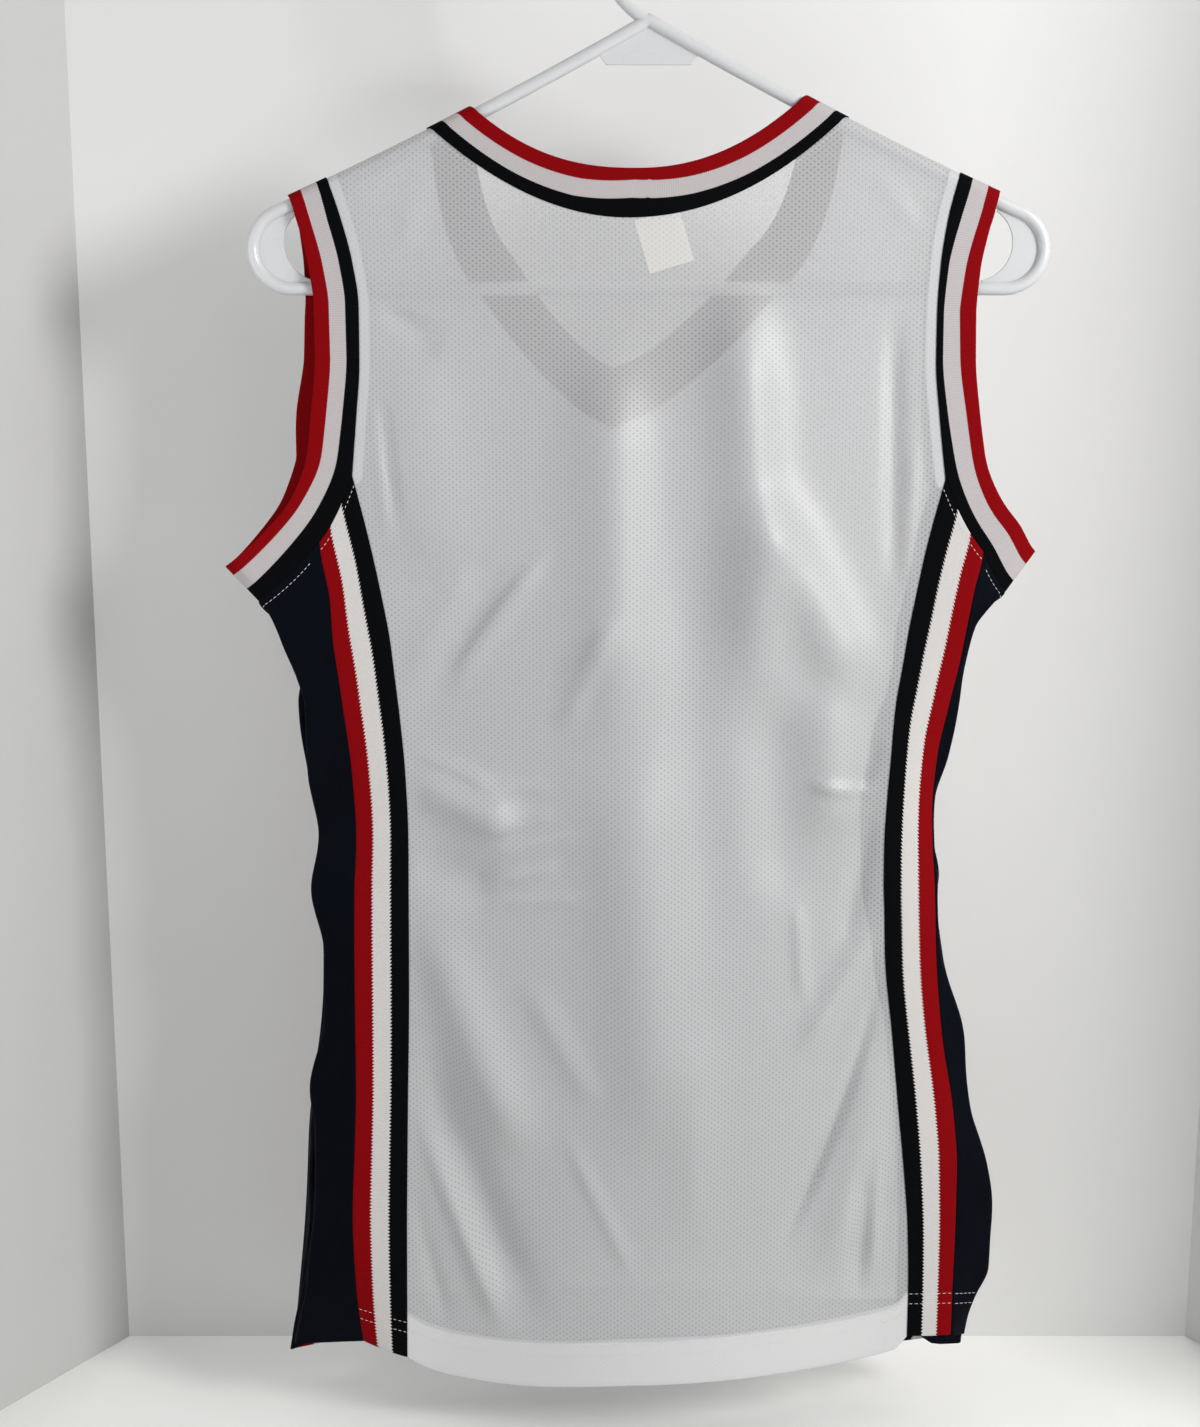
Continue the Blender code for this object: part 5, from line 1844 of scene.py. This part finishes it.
def level_run(grid: Array, rise: float, face: Face, **look: float) -> StitchLine:
    """Run stitches across a grid, level with its first row or with its last.

    Args:
        grid: placed points, from the lowest row up.
        rise: height over the first row, or over the last one where it is negative.
        face: the side of the garment that is outward.
        look: the run's own sizes.

    Returns:
        The run.
    """
    heights = grid[..., 2] - grid[0 if rise > 0 else -1, :, 2]
    row = np.array([np.interp(rise, column, np.arange(len(grid))) for column in heights.T])
    return StitchLine(*line_on(grid, row, face), **look)


@dataclass(frozen=True)
class Sewing:
    """All the thread that shows: under the armholes, along the hems and round the neck."""

    below_trim: float = 4.6 * MM
    side_hem: tuple[float, float] = (15.5 * MM, 21.5 * MM)
    right_raised: float = 4.5 * MM
    mesh_hem_gaps: tuple[float, float] = (2.5 * MM, 8.5 * MM)
    beside_neck: float = 2.0 * MM
    flat_lift: float = 0.12 * MM

    def below_armhole(self, side: Side) -> list[StitchLine]:
        """Sew below an armhole trim's seam, over the back tape and the side panel.

        Args:
            side: the armhole.

        Returns:
            A run on each piece.
        """
        rows = np.linspace(0.9, 1, 60)
        grids = (FORM.tape_points(side, Face.BACK, rows, np.linspace(0, 1, 24)),
                 FORM.side_points(side, rows)[:, 2:22])
        return [level_run(grid, -self.below_trim, Face.BACK, share=0.68) for grid in grids]

    def at_hem(self, side: Side) -> list[StitchLine]:
        """Sew two runs above the hem of the back tape, and on the right of the side panel too.

        Args:
            side: the side of the garment.

        Returns:
            The runs; the side panel's cover its first turn.
        """
        rows = np.linspace(0, 0.1, 60)
        grids = [FORM.tape_points(side, Face.BACK, rows, np.linspace(0, 1, 24))]
        raised = 0.0
        if side is RIGHT:
            grids.append(FORM.side_points(side, rows)[:, 1:9])
            raised = self.right_raised
        return [level_run(grid, rise + raised, Face.BACK, radius=0.15 * MM, pitch=2.8 * MM, share=0.72)
                for grid in grids for rise in self.side_hem]

    def mesh_hem(self, face: Face) -> list[StitchLine]:
        """Sew the two runs that hold a mesh panel's turned-up hem.

        Args:
            face: the panel.

        Returns:
            The runs.
        """
        grid = FORM.place(FORM.body_points(face, np.linspace(0, 0.08, 50), 90), face)
        return [level_run(grid, HEM_BAND - gap, face, lift=self.flat_lift) for gap in self.mesh_hem_gaps]

    def neck(self, face: Face) -> list[StitchLine]:
        """Sew a run on the mesh just outside the neck's seam.

        Args:
            face: the panel.

        Returns:
            The run.
        """
        up = np.linspace(0.01, 0.97, 120)
        halves = []
        for side in FORM.sides:
            flat = FORM.neck_points(face, NeckLine.SEAM, side, up, np.zeros(0))
            run = np.gradient(flat, axis=0)
            out = unit(np.stack([run[:, 1], -run[:, 0]], axis=-1) * side.sign)
            halves.append(flat + out * self.beside_neck)
        flat = np.concatenate([halves[0][::-1], halves[1]])
        grid = FORM.place(np.stack([flat, flat + np.array([0, 1 * MM])]), face)
        line = line_on(grid, np.zeros(len(flat)), face)
        return [StitchLine(*line, lift=self.flat_lift, radius=0.14 * MM, pitch=2.5 * MM)]

    def build(self, thread: Material) -> None:
        """Sew the jersey.

        Args:
            thread: the thread's finish.
        """
        for side in FORM.sides:
            sew("topstitch_under_armhole_" + side.name, self.below_armhole(side), thread)
            sew("coverstitch_side_hem_" + side.name, self.at_hem(side), thread)
        for face in Face:
            name = face.name.lower()
            sew("hem_stitch_" + name, self.mesh_hem(face), thread)
            sew("neck_stitch_" + name, self.neck(face), thread)


# ---------------- hanger

def circle(x: float, z: float, radius: float, angles: Array) -> Array:
    """Points (x, z) of a circle about (x, z), by angles from +X towards +Z."""
    return np.stack([x + radius * np.cos(angles), z + radius * np.sin(angles)], axis=-1)


@dataclass(frozen=True)
class Hanger:
    """A one-piece moulded hanger: a tube frame with looped ends, webs and an open hook.

    mouth is the angle, in degrees, at which the hook's bend ends.
    """

    tube: float = 3.5 * MM
    hook_tube: float = 3.3 * MM
    hook_inside: float = 20 * MM
    mouth: float = -28.0
    arm_end: float = 194.7 * MM
    loop: float = 20 * MM
    loop_x: float = 186.5 * MM
    loop_z: float = -202 * MM
    web_hole: float = 19 * MM
    web_x: float = 171 * MM
    web_z: float = -199 * MM
    web_wall: float = 1.6 * MM
    web_rounding: float = 0.3 * MM
    web_overlap: float = 0.5 * MM

    def frame_line(self) -> Array:
        """Lay out the frame: an arm, its end loop, the bar and the other side.

        Returns:
            (x, z) points of the closed middle line.
        """
        x = np.linspace(0, self.arm_end, 60)
        arm = np.stack([x, ARM.height(x)], axis=-1)
        angles = np.radians(np.linspace(24, 180, 48))[1:]
        loop = np.stack([self.loop_x + self.loop * np.sin(angles),
                         self.loop_z + self.loop * np.cos(angles)], axis=-1)
        bar = np.stack([np.linspace(self.loop_x, 0, 40)[1:], np.full(39, self.loop_z - self.loop)], axis=-1)
        half = np.concatenate([arm, loop, bar])
        return np.concatenate([half, (half * [-1, 1])[-2:0:-1]])

    def hook_line(self) -> Array:
        """Lay out the hook: a cubic stem, then most of a circle.

        Returns:
            (x, z) points of the middle line.
        """
        radius = self.hook_inside + self.hook_tube
        ends = np.array([[0, ARM.apex_z - 1 * MM], [-30 * MM, ARM.apex_z + 17 * MM],
                         [-radius, -self.hook_inside - 30 * MM], [-radius, -self.hook_inside]])
        t = np.linspace(0, 1, 40)[:-1, None]
        stem = (ends[0] * (1 - t) ** 3 + ends[1] * 3 * t * (1 - t) ** 2
                + ends[2] * 3 * t * t * (1 - t) + ends[3] * t ** 3)
        bend = circle(0.0, -self.hook_inside, radius, np.radians(np.linspace(180, self.mouth, 90)))
        return np.concatenate([stem, bend])

    def hook_radii(self, count: int, tip: int = 8) -> Array:
        """Radii along the hook: even, then a quarter circle down to its rounded tip.

        Args:
            count: places along it.
            tip: how many of them the tip takes.

        Returns:
            A radius for each place.
        """
        radii = np.full(count, self.hook_tube)
        radii[-tip:] = self.hook_tube * np.sqrt(np.clip(1 - np.linspace(0, 1, tip) ** 2, 0.0004, 1))
        return radii

    def sweep(self, line: Array, radius: Array, closed: bool) -> Patch:
        """Carry a circle along a line in the plane y = 0, square to it at every point.

        Args:
            line: (x, z) points of the middle line.
            radius: the tube's radius at each point.
            closed: whether the line closes on itself.

        Returns:
            The tube's patch.
        """
        if closed:
            tangent = np.roll(line, -1, axis=0) - np.roll(line, 1, axis=0)
        else:
            tangent = np.gradient(line, axis=0)
        tangent = unit(tangent)
        side = np.stack([-tangent[:, 1], 0 * tangent[:, 0], tangent[:, 0]], axis=-1)
        centre = np.stack([line[:, 0], 0 * line[:, 0], line[:, 1]], axis=-1)
        angles = np.linspace(0, 2 * math.pi, 25)
        ring = (np.cos(angles)[None, :, None] * side[:, None]
                + np.sin(angles)[None, :, None] * np.array([0, 1, 0]))
        points = centre[:, None] + ring * radius[:, None, None]
        along = lengths_along(np.concatenate([centre, centre[:1]]) if closed else centre)
        return Patch(points, grid_of(angles * self.tube, along))

    def web(self, outline: Array, name: str) -> Object:
        """Make a thin web: a flat outline with a wall and softened edges.

        Args:
            outline: its (x, z) corners.
            name: the piece's name.

        Returns:
            The web.
        """
        mesh = bpy.data.meshes.new(name)
        points = np.stack([outline[:, 0], 0 * outline[:, 0], outline[:, 1]], axis=-1)
        mesh.from_pydata(points, [], [list(range(len(points)))])
        piece = place_in_scene(name, mesh)
        give_wall(piece, self.web_wall, self.web_rounding)
        return piece

    def crescent(self, sign: int) -> Array:
        """Outline an end web: inside the loop's tube, outside a round opening.

        Args:
            sign: -1 for the left end, 1 for the right.

        Returns:
            (x, z) corners.
        """
        reach = self.loop + self.web_overlap
        shaded_rim = circle(self.loop_x, self.loop_z, reach, np.radians(np.linspace(-126, 104, 60)))
        tips = [math.atan2(z - self.web_z, x - self.web_x) for x, z in (shaded_rim[-1], shaded_rim[0])]
        hole = circle(self.web_x, self.web_z, self.web_hole, np.linspace(tips[0], tips[1], 50))
        return np.concatenate([shaded_rim, hole]) * [sign, 1]

    def build(self, plastic: Material) -> None:
        """Build the hanger.

        Args:
            plastic: its finish.
        """
        frame_line, hook_line = self.frame_line(), self.hook_line()
        tube = self.sweep(frame_line, np.full(len(frame_line), self.tube), True)
        hook = self.sweep(hook_line, self.hook_radii(len(hook_line)), False)
        pieces = [make_piece("hanger_frame", [tube], (0, 0, 1)), make_piece("hanger_hook", [hook], (1, 0, 0))]
        for piece in pieces:
            weld(piece.data, 0.005 * MM, turn_outwards=True)
        apex = np.array([(-27, -103), (0, -89), (27, -103), (22, -110), (-22, -110)]) * MM
        pieces.append(self.web(apex, "hanger_apex_web"))
        pieces += [self.web(self.crescent(side.sign), "hanger_end_web_" + side.name) for side in FORM.sides]
        for piece in pieces:
            carry(piece, plastic, "hanger_white", "hanger")


# ---------------- studio

@dataclass(frozen=True)
class Softbox:
    """A square soft light that faces a point; its power is in watts."""

    name: str
    place: Point
    aim: Point
    size: float
    power: float
    colour: str = "#FFFFFF"

    def build(self) -> None:
        """Add the light."""
        data = bpy.data.lights.new(self.name, "AREA")
        data.size, data.energy, data.color = self.size, self.power, linear(self.colour)[:3]
        lamp = place_in_scene(self.name, data)
        lamp.location = self.place
        away = np.array(self.place) - np.array(self.aim)
        level = math.hypot(away[0], away[1])
        lamp.rotation_euler = (math.atan2(level, away[2]), 0, math.atan2(away[0], -away[1]))


SOFTBOXES = (
    Softbox("key_softbox", (1.15, -0.95, 0.1), (0, 0, -0.4), 0.45, 20.5, "#FFFEFC"),
    Softbox("fill_softbox", (-0.8, -1.8, 0.2), (0, 0, -0.35), 1.3, 3.0, "#F8F9FF"),
    Softbox("top_softbox", (0.1, -0.8, 1.3), (0, 0, -0.4), 0.8, 0.35),
    Softbox("right_wall_softbox", (0.75, -0.40, 0.25), (0.3, 0.1, -0.25), 0.4, 2.0),
    Softbox("left_wall_softbox", (-0.62, -0.30, -0.3), (-0.26, 0.1, -0.45), 0.4, 1.7),
    Softbox("rear_softbox", (0.2, 1.3, 0.1), (0, 0, -0.45), 1.0, 6.0))


@dataclass(frozen=True)
class Studio:
    """A pale folding booth: a floor, a back wall and two wings that open towards the camera."""

    floor_z: float = -0.872
    floor_reach: float = 4.0
    wall_y: float = 0.103
    wall_top: float = 1.2
    wall_ends: tuple[float, float] = (-0.326, 0.349)
    wing_turn: float = math.radians(58)
    wing_width: float = 0.3
    room_colour: str = "#F4F5F7"
    room_strength: float = 0.28
    lens: float = 47.93
    film_width: float = 36.0
    camera_place: Point = (-0.0251, -1.019, -0.260)
    camera_dip: float = 10.47

    @staticmethod
    def board(name: str, corners: list[Point], finish: PaintedBoard, shades: bool = True) -> None:
        """Add one flat board of the booth.

        Args:
            name: its name.
            corners: its corners, in turn, seen from its painted side.
            finish: its paint.
            shades: whether it casts a shadow.
        """
        mesh = bpy.data.meshes.new(name)
        mesh.from_pydata(corners, [], [list(range(len(corners)))])
        mesh.materials.append(finish.make())
        board = place_in_scene(name, mesh)
        board.visible_shadow = shades

    def booth(self) -> None:
        """Build the boards; the back wall lets the rear light through to the jersey's front."""
        (left, right), y, reach = self.wall_ends, self.wall_y, self.floor_reach
        near_y = y - self.wing_width * math.sin(self.wing_turn)
        out = self.wing_width * math.cos(self.wing_turn)
        # The left wing's board is painted greyer than the wall as painted shade, so that it looks no brighter
        # than the wall though it turns towards the light
        wall, wing_painted_darker = PaintedBoard("matt_board_wall", "#DCDCDB"), PaintedBoard("matt_board_wing_painted_shade", "#BDBDBC")
        z, top = self.floor_z, self.wall_top
        self.board("floor", [(-reach, reach, z), (-reach, -reach, z), (reach, -reach, z), (reach, reach, z)],
                   PaintedBoard("matt_board_floor", "#EAEAE8"))
        for name, start, end, finish in (("back_wall", (left, y), (right, y), wall),
                                         ("left_wing", (left - out, near_y), (left, y), wing_painted_darker),
                                         ("right_wing", (right, y), (right + out, near_y), wall)):
            corners = [(*start, z), (*end, z), (*end, top), (*start, top)]
            self.board(name, corners, finish, name != "back_wall")

    def build(self) -> None:
        """Build the booth, its lights and the camera."""
        self.booth()
        for softbox in SOFTBOXES:
            softbox.build()
        world = bpy.data.worlds.new("pale_room")
        world.use_nodes = True
        shade = world.node_tree.nodes["Background"]
        shade.inputs["Color"].default_value = linear(self.room_colour)
        shade.inputs["Strength"].default_value = self.room_strength
        bpy.context.scene.world = world
        camera = place_in_scene("camera", bpy.data.cameras.new("camera"))
        camera.data.lens, camera.data.sensor_width = self.lens, self.film_width
        camera.location = self.camera_place
        camera.rotation_euler = (math.radians(90 - self.camera_dip), 0, 0)
        bpy.context.scene.camera = camera
        bpy.context.scene.view_settings.view_transform = "Standard"


# ---------------- the whole jersey

def main() -> None:
    """Build the jersey, its hanger and the studio, and report each piece."""
    logging.basicConfig(level=logging.INFO, format="%(message)s")
    mesh = PinholeMesh().make()
    trim_rib = StripedRib("polyester_rib_trim_striped", tooth=0.35, tooth_pitch=1.2, white="#B7B1B2").make()
    tape_rib = StripedRib("polyester_rib_tape_striped", tooth=1.15, tooth_pitch=2.0, white="#CAC7C5").make()
    navy = SmoothKnit().make()
    Hanger().build(MouldedPolystyrene().make())
    MeshPanel(Face.BACK, "back_panel", (0.345, 0.73, 0.200)).build(mesh)
    MeshPanel(Face.FRONT, "front_panel", (0.345, 0.73, 0.197)).build(mesh)
    for side in FORM.sides:
        SidePanel(side).build(navy)
        for face in Face:
            points = FORM.tape_points(side, face, np.linspace(0, 1, 261), np.linspace(0, 1, 13))
            band = StripedBand(f"side_tape_{face.name.lower()}_{side.name}", (0.0305, 0.50))
            band.build(points, False, tape_rib, "rib_white")
        band = StripedBand("armhole_trim_" + side.name, (0.0254, 0.42))
        band.build(FORM.armhole_ring(side, band.columns), True, trim_rib, "rib_red")
    band = StripedBand("neck_trim", (0.0254, 0.56))
    band.build(FORM.neck_ring(band.columns), True, trim_rib, "rib_red", MixedFloatsInShade().make())
    Label().build(WovenSatin().make())
    Sewing().build(SpunThread().make())
    Studio().build()


if __name__ == "__main__":
    main()
